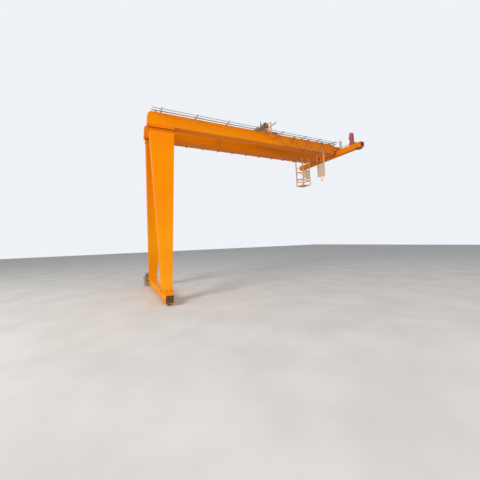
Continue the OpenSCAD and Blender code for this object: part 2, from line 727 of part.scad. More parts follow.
// Ladder that hangs under the far girder at its runway end
rung_d = 40;
ladder_x = girder_x1 - ladder_from_end;
module service_ladder() {
    z1 = girder_z0;
    z0 = z1 - ladder_h;
    color("sandybrown") translate([ladder_x, girder_y, 0]) {
        frame_posts(ladder_w, z0, ladder_h);
        for (z = [z0 + frame_tube / 2:rung_pitch:z1 - rung_pitch / 2])
            translate([0, 0, z]) rotate([90, 0, 0])
                cylinder(d = rung_d, h = ladder_w - 2 * frame_tube, center = true);
    }
}
// Cage behind the ladder: posts, three rails round it and a floor
cage_l = 640;
cage_floor_t = 30;
cage_rails = [340, 540, 1090];
module cage_frame() {
    z1 = girder_z0;
    z0 = z1 - ladder_h;
    x0 = ladder_x + frame_tube / 2;
    x1 = ladder_x + cage_l;
    rail_l = cage_l - frame_tube;
    color("sandybrown") {
        translate([x1, girder_y, 0]) frame_posts(ladder_w, z0, ladder_h);
        translate([x0, girder_y - ladder_w / 2, z0]) cube([rail_l, ladder_w, cage_floor_t]);
        for (z = cage_rails) {
            for (s = [-1, 1])
                translate([x0, girder_y + s * (ladder_w - frame_tube) / 2 - frame_tube / 2, z0 + z])
                    cube([rail_l, frame_tube, frame_tube]);
            translate([x1 - frame_tube / 2, girder_y - ladder_w / 2 + frame_tube, z0 + z])
                cube([frame_tube, ladder_w - 2 * frame_tube, frame_tube]);
        }
    }
}
// Frame for the current collectors under the near girder
collector_in = 550;
collector_x = ladder_x + collector_in;
collector_h = 1600;
collector_w = 660;
collector_bar_down = 620;
steady_w = 440;
steady_h = 390;
steady_tip = 110;
steady_t = 20;
steady_bar = 32;
module collector_frame() {
    z1 = girder_z0;
    z0 = z1 - collector_h;
    color("sandybrown") translate([collector_x, -girder_y, 0]) {
        frame_posts(collector_w, z0, collector_h);
        for (z = [z0, z1 - collector_bar_down])
            translate([-frame_tube / 2, -collector_w / 2 + frame_tube, z])
                cube([frame_tube, collector_w - 2 * frame_tube, frame_tube]);
        // Pointed steady under the frame, cut from plate
        steady = [[0, 0], [steady_w, 0], [steady_w - steady_tip, -steady_h]];
        translate([0, -collector_w / 2, z0]) rotate([90, 0, 90]) linear_extrude(steady_t, center = true)
            difference() {
                polygon(steady);
                offset(delta = -steady_bar) polygon(steady);
            }
    }
}
// Pale sheets held in the cage's near side and in the collector frame
panel_t = 6;
module guard_panels() {
    cage_z = girder_z0 - ladder_h + cage_rails[1] + frame_tube;
    collector_z = girder_z0 - collector_h + frame_tube;
    color("tan") {
        translate([ladder_x + frame_tube / 2, girder_y - (ladder_w - frame_tube + panel_t) / 2, cage_z])
            cube([cage_l - frame_tube, panel_t, cage_rails[2] - cage_rails[1] - frame_tube]);
        translate([collector_x - panel_t / 2, -girder_y - collector_w / 2 + frame_tube, collector_z])
            cube([panel_t, collector_w - 2 * frame_tube, collector_h - collector_bar_down - frame_tube]);
    }
}

// Walkway along the far girder's outer side, on brackets, with a toe board
deck_t = 6;
bracket_h = 100;
bracket_tip_h = 60;
bracket_w = 50;
toe_h = 100;
toe_t = 5;
walkway_in = [465, 110];
walkway_x0 = girder_x0 + walkway_in[0];
walkway_x1 = girder_x1 - walkway_in[1];
walkway_y1 = web_y + walkway_w;
walkway_z = girder_z0 + walkway_up;
bracket_places = [for (x = [walkway_x0 + bracket_w / 2:bracket_pitch:walkway_x1 - bracket_w / 2]) x];
module walkway() {
    deck_l = walkway_x1 - walkway_x0;
    color("darkorange") {
        translate([walkway_x0, web_y, walkway_z]) cube([deck_l, walkway_w, deck_t]);
        translate([walkway_x0, walkway_y1 - toe_t, walkway_z]) cube([deck_l, toe_t, toe_h]);
        for (x = bracket_places) translate([x, web_y, walkway_z]) rotate([90, 0, 90])
            linear_extrude(bracket_w, center = true)
                polygon([[0, 0], [0, -bracket_h], [bracket_h, -bracket_h],
                    [walkway_w, -bracket_tip_h], [walkway_w, 0]]);
    }
}
// Railing on the walkway: a long fence at its edge, and a short one across its leg end
post_d = 38;
top_rail_d = 42;
mid_rail_d = 30;
post_in = 40;
module railing_posts(places) {
    for (p = places) translate(p) cylinder(d = post_d, h = railing_h);
}
module walkway_railing() {
    z0 = walkway_z + deck_t;
    y = walkway_y1 - post_in;
    last = bracket_places[len(bracket_places) - 1];
    first = bracket_places[0];
    end_y = [web_y + flange_lip + post_d, y - post_in - post_d];
    color("darkorange") {
        railing_posts([for (x = bracket_places) [x, y, z0]]);
        railing_posts([for (e = end_y) [first, e, z0]]);
        for (r = [[top_rail_d, railing_h], [mid_rail_d, railing_h / 2]]) {
            translate([first, y, z0 + r[1]]) rotate([0, 90, 0]) cylinder(d = r[0], h = last - first);
            translate([first, end_y[1], z0 + r[1]]) rotate([90, 0, 0])
                cylinder(d = r[0], h = end_y[1] - end_y[0]);
        }
    }
}

near_girder();
far_girder();
leg_end_tie();
near_leg();
far_leg();
ground_carriage();
runway_carriage();
crab_rails();
girder_splice();
ground_wheel_near();
ground_wheel_far();
runway_wheel_near();
runway_wheel_far();
ground_gearbox();
ground_motor();
runway_gearbox();
runway_motor();
drive_cable_pipe();
ground_buffers();
runway_buffers();
festoon_arms();
festoon_track();
cable_conduit();
festoon_end_clamp();
cable_lead();
cable_loop_1();
cable_loop_2();
cable_loop_3();
cable_loop_4();
lead_carrier();
cable_carrier_1();
cable_carrier_2();
cable_carrier_3();
crab_frame();
crab_wheels();
hoist_drum();
hoist_gearbox();
hoist_motor();
tow_arm();
hoist_ropes();
hook_block();
hook();
service_ladder();
cage_frame();
guard_panels();
collector_frame();
walkway();
walkway_railing();
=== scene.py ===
# %% [markdown]
# # An orange semi-gantry crane
# The crane stands on two leaning legs at one side and on a raised carriage at the other. Two box girders
# carry a crab with a rope drum, and a cable hangs in loops along the near girder.
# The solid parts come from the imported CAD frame, so nothing has to be fitted here. This script gives
# them their paint and steel, and adds what is too fine for the solids: bolts, welds, fins and ropes.
# Loading comes first, because every new piece takes its place from the loaded nodes.

# %% Load the frame
import json
import math
import bmesh
import bpy
import numpy as np
from mathutils import Matrix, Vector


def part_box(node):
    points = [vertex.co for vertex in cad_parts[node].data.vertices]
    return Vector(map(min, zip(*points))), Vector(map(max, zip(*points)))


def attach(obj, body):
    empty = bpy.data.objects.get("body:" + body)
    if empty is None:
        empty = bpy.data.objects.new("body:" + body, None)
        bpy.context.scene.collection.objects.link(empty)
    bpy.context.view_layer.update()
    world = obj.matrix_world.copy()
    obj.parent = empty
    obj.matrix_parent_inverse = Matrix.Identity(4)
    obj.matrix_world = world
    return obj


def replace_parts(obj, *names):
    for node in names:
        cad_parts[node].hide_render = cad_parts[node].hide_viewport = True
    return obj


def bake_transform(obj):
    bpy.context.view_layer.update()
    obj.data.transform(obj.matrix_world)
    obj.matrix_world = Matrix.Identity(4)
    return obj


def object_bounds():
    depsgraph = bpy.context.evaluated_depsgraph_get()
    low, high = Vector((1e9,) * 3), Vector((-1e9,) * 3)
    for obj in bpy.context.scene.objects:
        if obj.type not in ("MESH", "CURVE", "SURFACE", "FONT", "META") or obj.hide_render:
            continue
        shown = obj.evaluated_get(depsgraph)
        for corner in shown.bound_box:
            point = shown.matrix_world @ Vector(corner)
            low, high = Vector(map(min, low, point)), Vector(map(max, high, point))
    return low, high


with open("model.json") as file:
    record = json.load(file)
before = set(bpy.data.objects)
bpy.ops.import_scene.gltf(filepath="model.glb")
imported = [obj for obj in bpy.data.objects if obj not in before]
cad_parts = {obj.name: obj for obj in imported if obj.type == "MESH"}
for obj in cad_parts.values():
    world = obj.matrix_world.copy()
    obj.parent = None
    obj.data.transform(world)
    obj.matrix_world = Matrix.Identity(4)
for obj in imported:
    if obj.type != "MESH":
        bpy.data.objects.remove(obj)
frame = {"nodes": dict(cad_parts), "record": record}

cad_box = [list(corner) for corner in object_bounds()]
print("nodes", len(frame["nodes"]), "box", cad_box)

# %% [markdown]
# ## The camera
# The photograph was taken low and close with a wide lens, a little to the left of the legs. Its place
# and turn were worked out from the straight edges of the girders, the legs and the carriages.
# The picture's centre isn't on the lens axis, so the sensor is shifted. A look-at helper would level
# the horizon, and the photograph leans by nearly two degrees, so the axes are written out.

# %% Camera
frame_px = 480
focal_px = 250.979
axis_row_px = 213.5
sensor_mm = 36
clip_end_m = 200
camera_at = np.array([-1.939, -13.488, 2.427])
yaw, pitch, roll = np.radians([26.215, 6.027, -1.809])
ahead = np.array([math.sin(yaw) * math.cos(pitch), math.cos(yaw) * math.cos(pitch), math.sin(pitch)])
level = np.array([math.cos(yaw), -math.sin(yaw), 0.0])
overhead = np.cross(level, ahead)
right = math.cos(roll) * level + math.sin(roll) * overhead
above = -math.sin(roll) * level + math.cos(roll) * overhead
lens = bpy.data.cameras.new("photo_camera")
lens.sensor_width = sensor_mm
lens.lens = focal_px / frame_px * sensor_mm
lens.shift_y = (axis_row_px - frame_px / 2) / frame_px
lens.clip_end = clip_end_m
camera = bpy.data.objects.new("photo_camera", lens)
bpy.context.collection.objects.link(camera)
turned = np.eye(4)
turned[:3, 0], turned[:3, 1], turned[:3, 2], turned[:3, 3] = right, above, -ahead, camera_at
camera.matrix_world = Matrix(turned.tolist())
bpy.context.scene.camera = camera
print("lens", round(lens.lens, 2), "mm, shift", round(lens.shift_y, 4))

# %% [markdown]
# ## Surfaces from arrays
# Nearly every steel part is a closed outline carried along a line: a bolt, a pipe, a plate, a leg.
# So one function joins a stack of rings into a shell, and the others only make rings. The points are
# worked out as whole arrays. A part is kept as its points and its faces until it is put into a mesh,
# so many small parts can share one object.

# %% Rings to shells
def ring_faces(n, m):
    """Quads between n rings of m points: each joins point j to j + 1, on ring i and on ring i + 1."""
    i, j = np.arange(n - 1)[:, None], np.arange(m)[None, :]
    after = (j + 1) % m
    return np.stack([i * m + j, i * m + after, (i + 1) * m + after, (i + 1) * m + j], -1).reshape(-1, 4)

def shell(rings):
    """Closed skin over a stack of rings (n, m, 3), with a flat face over the first and the last."""
    n, m, _ = rings.shape
    ends = np.arange(m)[None, :]
    return rings.reshape(-1, 3), [ring_faces(n, m), ends[:, ::-1], ends + (n - 1) * m]

def hoop(rings):
    """As shell, but the last ring joins the first, so the skin is a closed loop such as a washer."""
    n, m, _ = rings.shape
    return rings.reshape(-1, 3), [ring_faces(n + 1, m) % (n * m)]

def gather(parts):
    """One list of points and faces from many: each part's face numbers move up past the points before."""
    points, faces, start = [], [], 0
    for verts, blocks in parts:
        points.append(verts)
        faces += [block + start for block in blocks]
        start += len(verts)
    return np.concatenate(points), faces

# %% [markdown]
# A finish is given by its name, and most finishes are named as the record's slot they belong to.

# %% Pieces
finishes = {}

def piece(name, parts, body, finish, smooth_deg=32):
    """Mesh object of the gathered parts, in place, that rides on a body and wears a finish."""
    verts, blocks = gather(parts)
    mesh = bpy.data.meshes.new(name)
    mesh.from_pydata(verts.tolist(), [], [face for block in blocks for face in block.tolist()])
    shapes = bmesh.new()
    shapes.from_mesh(mesh)
    bmesh.ops.recalc_face_normals(shapes, faces=shapes.faces)
    shapes.to_mesh(mesh)
    shapes.free()
    mesh.polygons.foreach_set("use_smooth", np.ones(len(mesh.polygons), dtype=bool))
    mesh.set_sharp_from_angle(angle=math.radians(smooth_deg))
    mesh.materials.append(finishes[finish])
    made = bpy.data.objects.new(name, mesh)
    bpy.context.collection.objects.link(made)
    if body:
        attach(made, body)
    print(name, len(mesh.polygons), "faces")
    return made

# %% [markdown]
# A pipe or a cable is a circle carried along a path. The circle has to stay square to the path without
# twisting. All the paths here lie in a plane or wind round an axis, so a fixed side direction gives a
# steady frame, and nothing has to be passed on from ring to ring.

# %% Paths and pipes
def unit(v):
    """Vectors at length one."""
    return v / np.linalg.norm(v, axis=-1, keepdims=True)

reads_per_point = 40

def smooth_path(points, count):
    """Cubic curve through the points: p = a h00 + ta h10 + b h01 + tb h11 on each span, with tangents
    from the neighbours, read off again at equal steps of length."""
    points = np.asarray(points, dtype=float)
    run = np.concatenate([[0], np.cumsum(np.linalg.norm(np.diff(points, axis=0), axis=1))])
    tangent = np.gradient(points, run, axis=0)
    at = np.linspace(0, run[-1], reads_per_point * len(points))
    i = np.clip(np.searchsorted(run, at, side="right") - 1, 0, len(points) - 2)
    span = (run[i + 1] - run[i])[:, None]
    t = (at[:, None] - run[i][:, None]) / span
    fine = ((2 * t ** 3 - 3 * t ** 2 + 1) * points[i] + (t ** 3 - 2 * t ** 2 + t) * span * tangent[i]
            + (3 * t ** 2 - 2 * t ** 3) * points[i + 1] + (t ** 3 - t ** 2) * span * tangent[i + 1])
    length = np.concatenate([[0], np.cumsum(np.linalg.norm(np.diff(fine, axis=0), axis=1))])
    steps = np.linspace(0, length[-1], count)
    return np.stack([np.interp(steps, length, fine[:, k]) for k in range(3)], -1), length[-1]

def pipe(path, radius, side=(0, 1, 0), sides=12, lobes=0, lobe=0.0, lay=0.1):
    """Circle carried along a path: centre + r (cos a, sin a) in the frame of side and side x tangent.
    With lobes, r = radius + lobe cos(lobes (a - 2 pi s / lay)), which is the twist of a rope."""
    path = np.asarray(path, dtype=float)
    along = unit(np.gradient(path, axis=0))
    level_way = unit(np.cross(along, np.cross(np.asarray(side, dtype=float), along)))
    square_way = np.cross(along, level_way)
    angle = np.linspace(0, 2 * np.pi, sides, endpoint=False)[None, :, None]
    run = np.concatenate([[0], np.cumsum(np.linalg.norm(np.diff(path, axis=0), axis=1))])[:, None, None]
    r = np.broadcast_to(np.asarray(radius, dtype=float).reshape(-1, 1, 1), (len(path), 1, 1))
    r = r + lobe * np.cos(lobes * (angle - 2 * np.pi * run / lay))
    rings = path[:, None] + r * (np.cos(angle) * level_way[:, None] + np.sin(angle) * square_way[:, None])
    return shell(rings)

# %% [markdown]
# ## Finishes
# Paint on a crane isn't one colour: it is thicker and thinner, rain and brake dust have run down it,
# and grit has settled on it near the ground. Low down its colour changes, which is painted light. Each
# finish is a small tree of shader nodes over the object's own coordinates, in metres, so a pattern has
# its real size and stays put when a part moves. A helper class keeps each tree short: every call adds a
# node and gives its output.

# %% A helper for node trees
class Finish:
    """One procedural material. Sockets are passed about as values; numbers and colours may be too."""
    def __init__(self, name, roughness=0.5, metallic=0.0):
        self.material = bpy.data.materials.new(name)
        self.material.use_nodes = True
        self.tree = self.material.node_tree
        self.surface = self.tree.nodes["Principled BSDF"]
        self.surface.inputs["Roughness"].default_value = roughness
        self.surface.inputs["Metallic"].default_value = metallic
        self.place = self.tree.nodes.new("ShaderNodeTexCoord").outputs["Object"]
        self.height = None

    def add(self, kind, values, out=0, **settings):
        """Adds a node, fills its inputs from a dict of name or number to value or socket."""
        node = self.tree.nodes.new("ShaderNode" + kind)
        for key, value in settings.items():
            setattr(node, key, value)
        for key, value in values.items():
            if isinstance(value, bpy.types.NodeSocket):
                self.tree.links.new(value, node.inputs[key])
            elif isinstance(value, (tuple, list)) and len(value) == 3 and node.inputs[key].type == "RGBA":
                node.inputs[key].default_value = (*value, 1)
            else:
                node.inputs[key].default_value = value
        return node.outputs[out]

    def part(self, axis):
        """The x, y or z of the place, in metres."""
        return self.add("SeparateXYZ", {0: self.place}, out="XYZ".index(axis))

    def moved(self, centre=(0, 0, 0), stretch=(1, 1, 1)):
        """The place measured from a centre and stretched, for streaks and for round parts."""
        shifted = self.add("VectorMath", {0: self.place, 1: centre}, operation="SUBTRACT")
        return self.add("VectorMath", {0: shifted, 1: stretch}, operation="MULTIPLY")

    def noise(self, scale, detail=3.0, rough=0.55, at=None):
        """Cloudy noise, 0 to 1, with so many patterns to a metre."""
        return self.add("TexNoise", {"Vector": at or self.place, "Scale": scale, "Detail": detail,
                                     "Roughness": rough})

    def crystals(self, scale):
        """A random colour for each cell, as on zinc."""
        return self.add("TexVoronoi", {"Vector": self.place, "Scale": scale}, out="Color", feature="F1")

    def math(self, kind, a, b):
        """Sum or product of two values. A product is kept between 0 and 1."""
        return self.add("Math", {0: a, 1: b}, operation=kind, use_clamp=kind == "MULTIPLY")

    def fade(self, value, start, end, low=0.0, high=1.0):
        """Goes smoothly from low to high as the value goes from start to end."""
        return self.add("MapRange", {"Value": value, "From Min": start, "From Max": end, "To Min": low,
                                     "To Max": high}, interpolation_type="SMOOTHSTEP")

    def mix(self, amount, a, b):
        """Colour a where amount is 0, colour b where it is 1."""
        return self.add("MixRGB", {0: amount, 1: a, 2: b})

    def bump(self, height, distance, strength=1.0):
        """Adds relief on top of what is there, its height in metres."""
        values = {"Height": height, "Distance": distance, "Strength": strength}
        if self.height:
            values["Normal"] = self.height
        self.height = self.add("Bump", values)

    def wear(self, colour, roughness=None):
        """Sends the colour, the roughness and the relief to the shader, and gives the material."""
        self.tree.links.new(colour, self.surface.inputs["Base Color"])
        if roughness:
            self.tree.links.new(roughness, self.surface.inputs["Roughness"])
        if self.height:
            self.tree.links.new(self.height, self.surface.inputs["Normal"])
        return self.material

print("helper", Finish.__name__)

# %% [markdown]
# The cable's jacket is black rubber that has gone brown-grey with dust, which lies on it in soft patches
# and makes it duller there.

# %% Cable rubber
def rubber(name, dark, dusty, dust):
    """Black rubber under patches of dust, which also make it duller."""
    f = Finish(name, roughness=0.7)
    grain = f.noise(90, 4)
    patch = f.fade(f.noise(3.5, 4), 0.35, 0.75, 0.0, dust)
    colour = f.mix(patch, f.mix(f.fade(grain, 0.3, 0.7), dark, tuple(1.5 * c for c in dark)), dusty)
    f.bump(grain, 0.0006, 0.5)
    return f.wear(colour, f.fade(patch, 0, dust, 0.5, 0.85))

finishes["cable_rubber"] = rubber("festoon_cable_rubber", (0.045, 0.028, 0.017), (0.20, 0.12, 0.07), 0.55)
finishes["buffer_rubber"] = rubber("buffer_rubber", (0.018, 0.017, 0.016), (0.16, 0.12, 0.09), 0.6)
print("rubber finishes", sorted(finishes))

# %% [markdown]
# ## The festoon cable
# One cable feeds the crab. It runs from a clamp at the far end of the near girder, over three carriers
# and the lead carrier, and hangs between them in four loops, with a short slack loop to the crab's arm.
# A simulation would need the cable's real stiffness. The photograph shows the loops well, so each
# follows a few measured points on one smooth curve. The outer loops hang a little less deep.

# %% Cable loops
cable_d = 0.028
track_y, saddle_z = -1.28, 8.78
loop_pitch, lead_x, tow_x = 1.15, 6.95, 6.08
loop_count, lead_count = 40, 32
loop_depths = [0.91, 1.03, 1.03, 0.91]
loop_points = np.array([[40, 0], [40, -50], [50, -110], [85, -200], [150, -330], [235, -480], [335, -615],
                        [450, -715], [575, -755], [700, -715], [815, -615], [915, -480], [1000, -330],
                        [1065, -200], [1100, -110], [1110, -50], [1110, 0]]) / 1000
lead_points = np.array([[0, 0], [0, -50], [20, -115], [90, -205], [200, -265], [345, -295], [485, -295],
                        [630, -265], [740, -205], [810, -115], [830, -50], [830, 0]]) / 1000

def hang(name, points, start_x, node, count):
    """Cable under the track through points (s, z): x = start + s, at the height of the saddles + z."""
    place = np.column_stack([start_x + points[:, 0], np.full(len(points), track_y), points[:, 1] + saddle_z])
    path, length = smooth_path(place, count)
    made = piece(name, [pipe(path, cable_d / 2)], None, "cable_rubber")
    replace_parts(made, node)
    print(name, "length", round(length, 3))
    return made, path

for i, depth in enumerate(loop_depths):
    loop, loop_path = hang("festoon_loop_%d" % (i + 1), loop_points * [1, depth],
                           lead_x + i * loop_pitch, "cable_loop_%d" % (i + 1), loop_count)
    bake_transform(loop)
lead = hang("festoon_lead", lead_points, tow_x, "cable_lead", lead_count)[0]
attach(lead, "crab")

# %% [markdown]
# ## The orange enamel
# The legs, girders and carriages wear one deep orange enamel. It is nearly even, with a slow change of
# tone from plate to plate, faint runs down the upright faces, and grey-brown dust low down, where wheels
# throw it up. Towards the ground the orange is painted a little paler, which is painted light. A fine
# ripple in the gloss shows that it was sprayed. The change of tone comes from slow noise, and the runs
# from noise that is squeezed sideways and stretched downwards.

# %% Enamel
spray_noise, spray_depth = 260, 0.00025
painted_light_below_m = 5.0

def enamel(name, colour, faded, shade, dirt, gloss=0.36, low=(0.0, 0.7), dusty=0.55, runs=0.4, shine=0.5):
    """Paint: tone by slow noise, a second colour towards the ground as painted light, runs down the faces,
    dust below low[1].
    """
    f = Finish(name)
    f.surface.inputs["Specular IOR Level"].default_value = shine
    height = f.part("Z")
    tone = f.fade(f.noise(0.45, 2), 0.3, 0.7)
    # Painted light: towards the ground the colour goes over to the second colour.
    paint = f.mix(f.fade(height, 0.0, painted_light_below_m), faded, colour)
    paint = f.mix(f.math("MULTIPLY", tone, 0.55), paint, shade)
    streak = f.fade(f.noise(1, 4, at=f.moved(stretch=(11, 11, 0.5))), 0.55, 0.82, 0.0, runs)
    grime = f.fade(f.noise(2.2, 5, 0.65), 0.5, 0.85, 0.0, 0.3)
    near_ground = f.math("MULTIPLY", f.fade(height, low[1], low[0]), f.fade(f.noise(9, 5, 0.7), 0.25, 0.75))
    dust = f.math("ADD", f.math("MULTIPLY", streak, grime), f.math("MULTIPLY", near_ground, dusty))
    f.bump(f.noise(2.4, 2), 0.003, 0.25)
    f.bump(f.noise(spray_noise, 2), spray_depth, 0.6)
    rough = f.fade(f.noise(14, 4), 0.2, 0.8, gloss - 0.06, gloss + 0.12)
    return f.wear(f.mix(dust, paint, dirt), f.math("ADD", rough, f.math("MULTIPLY", dust, 0.4)))

orange = (0.93, 0.275, 0.001)
# The paler orange near the ground is painted light.
orange_painted_light_low = (0.98, 0.40, 0.004)
orange_deep = (0.86, 0.218, 0.0012)
grit = (0.30, 0.145, 0.055)
crane_shine = 0.05
finishes["crane_orange"] = enamel("crane_enamel", orange, orange_painted_light_low, orange_deep, grit, low=(0.0, 0.3),
                                  dusty=0.16, shine=crane_shine)
print("enamel", [round(c, 3) for c in orange])

# %% [markdown]
# The girders are long, and their plates were painted before they were welded up, so the tone steps a
# little from plate to plate. Rain and rope grease leave short dark runs from the upper edge of the web.
# Away from the legs the colour is painted duller and redder, which is painted glare haze.

# %% Girder enamel
seam_x = [0.56, 4.1, 7.9]
girder_foot, girder_top = (corner[2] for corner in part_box("near_girder"))
# Duller, redder orange of the painted glare haze.
glare_haze_colour = (0.66, 0.19, 0.03)
rain_run = (0.52, 0.15, 0.02)

def girder_enamel():
    """Enamel with a step of tone at each plate seam, and runs that fade out below the upper edge."""
    f = Finish("girder_enamel")
    f.surface.inputs["Specular IOR Level"].default_value = crane_shine
    along, height = f.part("X"), f.part("Z")
    tone = f.math("MULTIPLY", f.fade(f.noise(0.6, 2), 0.3, 0.7), 0.5)
    for i, x in enumerate(seam_x):
        step = f.fade(along, x - 0.004, x + 0.004, 0.0, 0.22 if i % 2 == 0 else 0.1)
        tone = f.math("ADD", tone, step)
    # Painted glare haze: from x 5.5 m on, the colour goes duller and redder.
    glare_haze_share = f.math("MULTIPLY", f.fade(along, 5.5, 12.0), 0.55)
    paint = f.mix(glare_haze_share, f.mix(tone, orange, orange_deep), glare_haze_colour)
    streak = f.fade(f.noise(1, 4, at=f.moved(stretch=(16, 16, 0.9))), 0.52, 0.8)
    upper = f.fade(height, girder_foot + 0.05, girder_top, 0.0, 0.5)
    runs = f.math("MULTIPLY", streak, upper)
    f.bump(f.noise(1.7, 2), 0.004, 0.3)
    f.bump(f.noise(spray_noise, 2), spray_depth, 0.6)
    rough = f.fade(f.noise(12, 4), 0.2, 0.8, 0.3, 0.46)
    return f.wear(f.mix(runs, paint, rain_run), f.math("ADD", rough, f.math("MULTIPLY", runs, 0.25)))

finishes["girder"] = girder_enamel()
print("girder from", round(girder_foot, 3), "to", round(girder_top, 3))

# %% [markdown]
# ## The other painted parts
# The ladder and the frames were painted thinner, in an orange that has gone pale and pinkish. The crab
# wears old maroon primer. Each drive has a plain colour of its own under its grease.

# %% Other paints
other_paints = {
    "service_orange": ("faded_frame_paint", dict(gloss=0.5, runs=0.8),
                       (0.88, 0.46, 0.20), (0.88, 0.50, 0.26), (0.78, 0.36, 0.13), (0.34, 0.2, 0.12)),
    "crab_maroon": ("old_maroon_primer", dict(gloss=0.55, runs=0.9),
                    (0.145, 0.048, 0.035), (0.16, 0.06, 0.045), (0.095, 0.03, 0.024), (0.05, 0.035, 0.03)),
    "gearbox_yellow": ("greasy_yellow_paint", dict(gloss=0.42, runs=0.9, dusty=0.7),
                       (0.80, 0.50, 0.055), (0.72, 0.44, 0.07), (0.55, 0.32, 0.05), (0.12, 0.075, 0.045)),
    "motor_blue": ("dusty_blue_grey_paint", dict(gloss=0.42, runs=0.8, dusty=0.4),
                   (0.36, 0.38, 0.43), (0.39, 0.41, 0.46), (0.27, 0.29, 0.34), (0.20, 0.15, 0.12)),
    "motor_red": ("drive_red_paint", dict(gloss=0.3, runs=0.8),
                  (0.52, 0.115, 0.125), (0.56, 0.13, 0.14), (0.33, 0.05, 0.06), (0.12, 0.06, 0.055)),
    "hoist_grey": ("hoist_grey_paint", dict(gloss=0.45, runs=0.9),
                   (0.235, 0.245, 0.25), (0.25, 0.25, 0.25), (0.15, 0.155, 0.16), (0.07, 0.05, 0.04)),
    "carrier_yellow": ("carrier_yellow_paint", dict(gloss=0.4, runs=0.7),
                       (0.86, 0.62, 0.16), (0.86, 0.62, 0.2), (0.7, 0.45, 0.08), (0.3, 0.2, 0.1))}
for key, (name, wear, *colours) in other_paints.items():
    finishes[key] = enamel(name, *colours, **wear)
print("paints", len(finishes))

# %% [markdown]
# ## Bare and coated metals
# A rail or a wheel is bright only where it is run on. Its sides are brown with rust. Which is which can
# be told from the way the face points, or from how far it is from the axle, so no mask has to be drawn.

# %% Rails and wheels
def rusted(f):
    """Rust: dark and bright brown by noise, with a pitted surface."""
    pits = f.noise(14, 6, 0.7)
    f.bump(pits, 0.0015, 0.6)
    return f.mix(f.fade(pits, 0.35, 0.7), (0.055, 0.026, 0.016), (0.19, 0.082, 0.038))

def run_steel(name, bright_mask, roughness=0.42):
    """Rust with bright steel where the mask is 1."""
    f = Finish(name)
    brushed = f.fade(f.noise(1, 3, at=f.moved(stretch=(3, 60, 60))), 0.3, 0.7)
    bright = f.mix(brushed, (0.42, 0.40, 0.37), (0.56, 0.53, 0.49))
    mask = bright_mask(f)
    colour = f.mix(mask, rusted(f), bright)
    f.tree.links.new(mask, f.surface.inputs["Metallic"])
    return f.wear(colour, f.fade(mask, 0, 1, 0.82, roughness))

def upward(f):
    """1 on faces that point up."""
    normal = f.add("NewGeometry", {}, out="Normal")
    return f.fade(f.add("SeparateXYZ", {0: normal}, out=2), 0.8, 0.97)

def tread(centre, low, high):
    """1 within two distances of an axle along X."""
    def mask(f):
        """Both edges fade over 2 mm."""
        radius = f.add("VectorMath", {0: f.moved(centre, (0, 1, 1))}, out="Value", operation="LENGTH")
        return f.math("MULTIPLY", f.fade(radius, low - 0.002, low), f.fade(radius, high + 0.002, high))
    return mask

finishes["rail_steel"] = run_steel("worn_rail_steel", upward)
wheel_r, tread_low, tread_high = 0.1575, 0.004, 0.006
wheel_nodes = ["ground_wheel_near", "ground_wheel_far", "runway_wheel_near", "runway_wheel_far"]
for name in wheel_nodes:
    lo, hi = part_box(name)
    axle = tuple((lo + hi) / 2)
    finishes[name] = run_steel(name + "_iron", tread(axle, wheel_r - tread_low, wheel_r + tread_high), 0.3)
finishes["wheel_iron"] = run_steel("crab_wheel_iron",
                                   lambda f: f.fade(f.noise(6, 4), 0.45, 0.6, 0.1, 0.6), 0.45)
print("wheels", wheel_nodes)

# %% [markdown]
# Zinc is pale and crystalline under its dust. Forged parts keep their black scale, and a wire rope is
# dark with grease between its strands.

# %% Zinc, forgings and rope
def zinc():
    """Galvanised steel: pale crystals, one tone to a cell, under a dry film of grey-brown dust."""
    f = Finish("dusty_zinc")
    tone = f.add("SeparateColor", {0: f.crystals(70)}, out=0)
    metal = f.mix(tone, (0.33, 0.30, 0.26), (0.47, 0.43, 0.37))
    dust = f.fade(f.noise(5, 5), 0.4, 0.75, 0.15, 0.75)
    f.bump(f.noise(120, 3), 0.0004, 0.5)
    f.tree.links.new(f.fade(dust, 0.15, 0.75, 0.55, 0.1), f.surface.inputs["Metallic"])
    return f.wear(f.mix(dust, metal, (0.30, 0.235, 0.175)), f.fade(dust, 0.15, 0.75, 0.42, 0.8))

finishes["galvanised"] = zinc()

def forged():
    """Black forging scale, rubbed to steel where the noise is high."""
    f = Finish("forged_black_steel")
    rub = f.fade(f.noise(7, 4), 0.5, 0.68, 0.0, 0.8)
    f.bump(f.noise(45, 5), 0.0008, 0.5)
    f.tree.links.new(rub, f.surface.inputs["Metallic"])
    return f.wear(f.mix(rub, (0.035, 0.03, 0.028), (0.36, 0.34, 0.32)), f.fade(rub, 0, 0.8, 0.62, 0.34))

finishes["hook_steel"] = forged()

def rope_wire():
    """Greased wire: dark in the hollows between the strands, greyer on their crowns."""
    f = Finish("greased_wire_rope", metallic=0.35)
    wires = f.noise(1, 3, at=f.moved(stretch=(420, 420, 60)))
    f.bump(wires, 0.0006, 0.8)
    grease = f.fade(f.noise(5, 4), 0.35, 0.7)
    colour = f.mix(grease, f.mix(wires, (0.10, 0.088, 0.075), (0.30, 0.27, 0.235)), (0.055, 0.042, 0.032))
    return f.wear(colour, f.fade(grease, 0, 1, 0.55, 0.38))

finishes["rope_steel"] = rope_wire()

# %% [markdown]
# The guard panels are pale sheets of plastic that have yellowed. Dust lies in soft clouds on them and
# they have picked up fine upright scratches. They stay opaque, as in the photograph.

# %% Pale sheet
def pale_sheet():
    """Yellowed plastic: clouds of dust, and scratches from noise that is stretched downwards."""
    f = Finish("yellowed_sheet", roughness=0.45)
    cloud = f.fade(f.noise(2.6, 5), 0.3, 0.75)
    scratch = f.fade(f.noise(1, 4, at=f.moved(stretch=(90, 90, 2))), 0.6, 0.75, 0.0, 0.35)
    colour = f.mix(cloud, (0.72, 0.60, 0.44), (0.60, 0.48, 0.33))
    f.bump(scratch, 0.0003, 0.5)
    return f.wear(f.mix(scratch, colour, (0.42, 0.33, 0.24)), f.fade(cloud, 0, 1, 0.38, 0.62))

finishes["pale_sheet"] = pale_sheet()

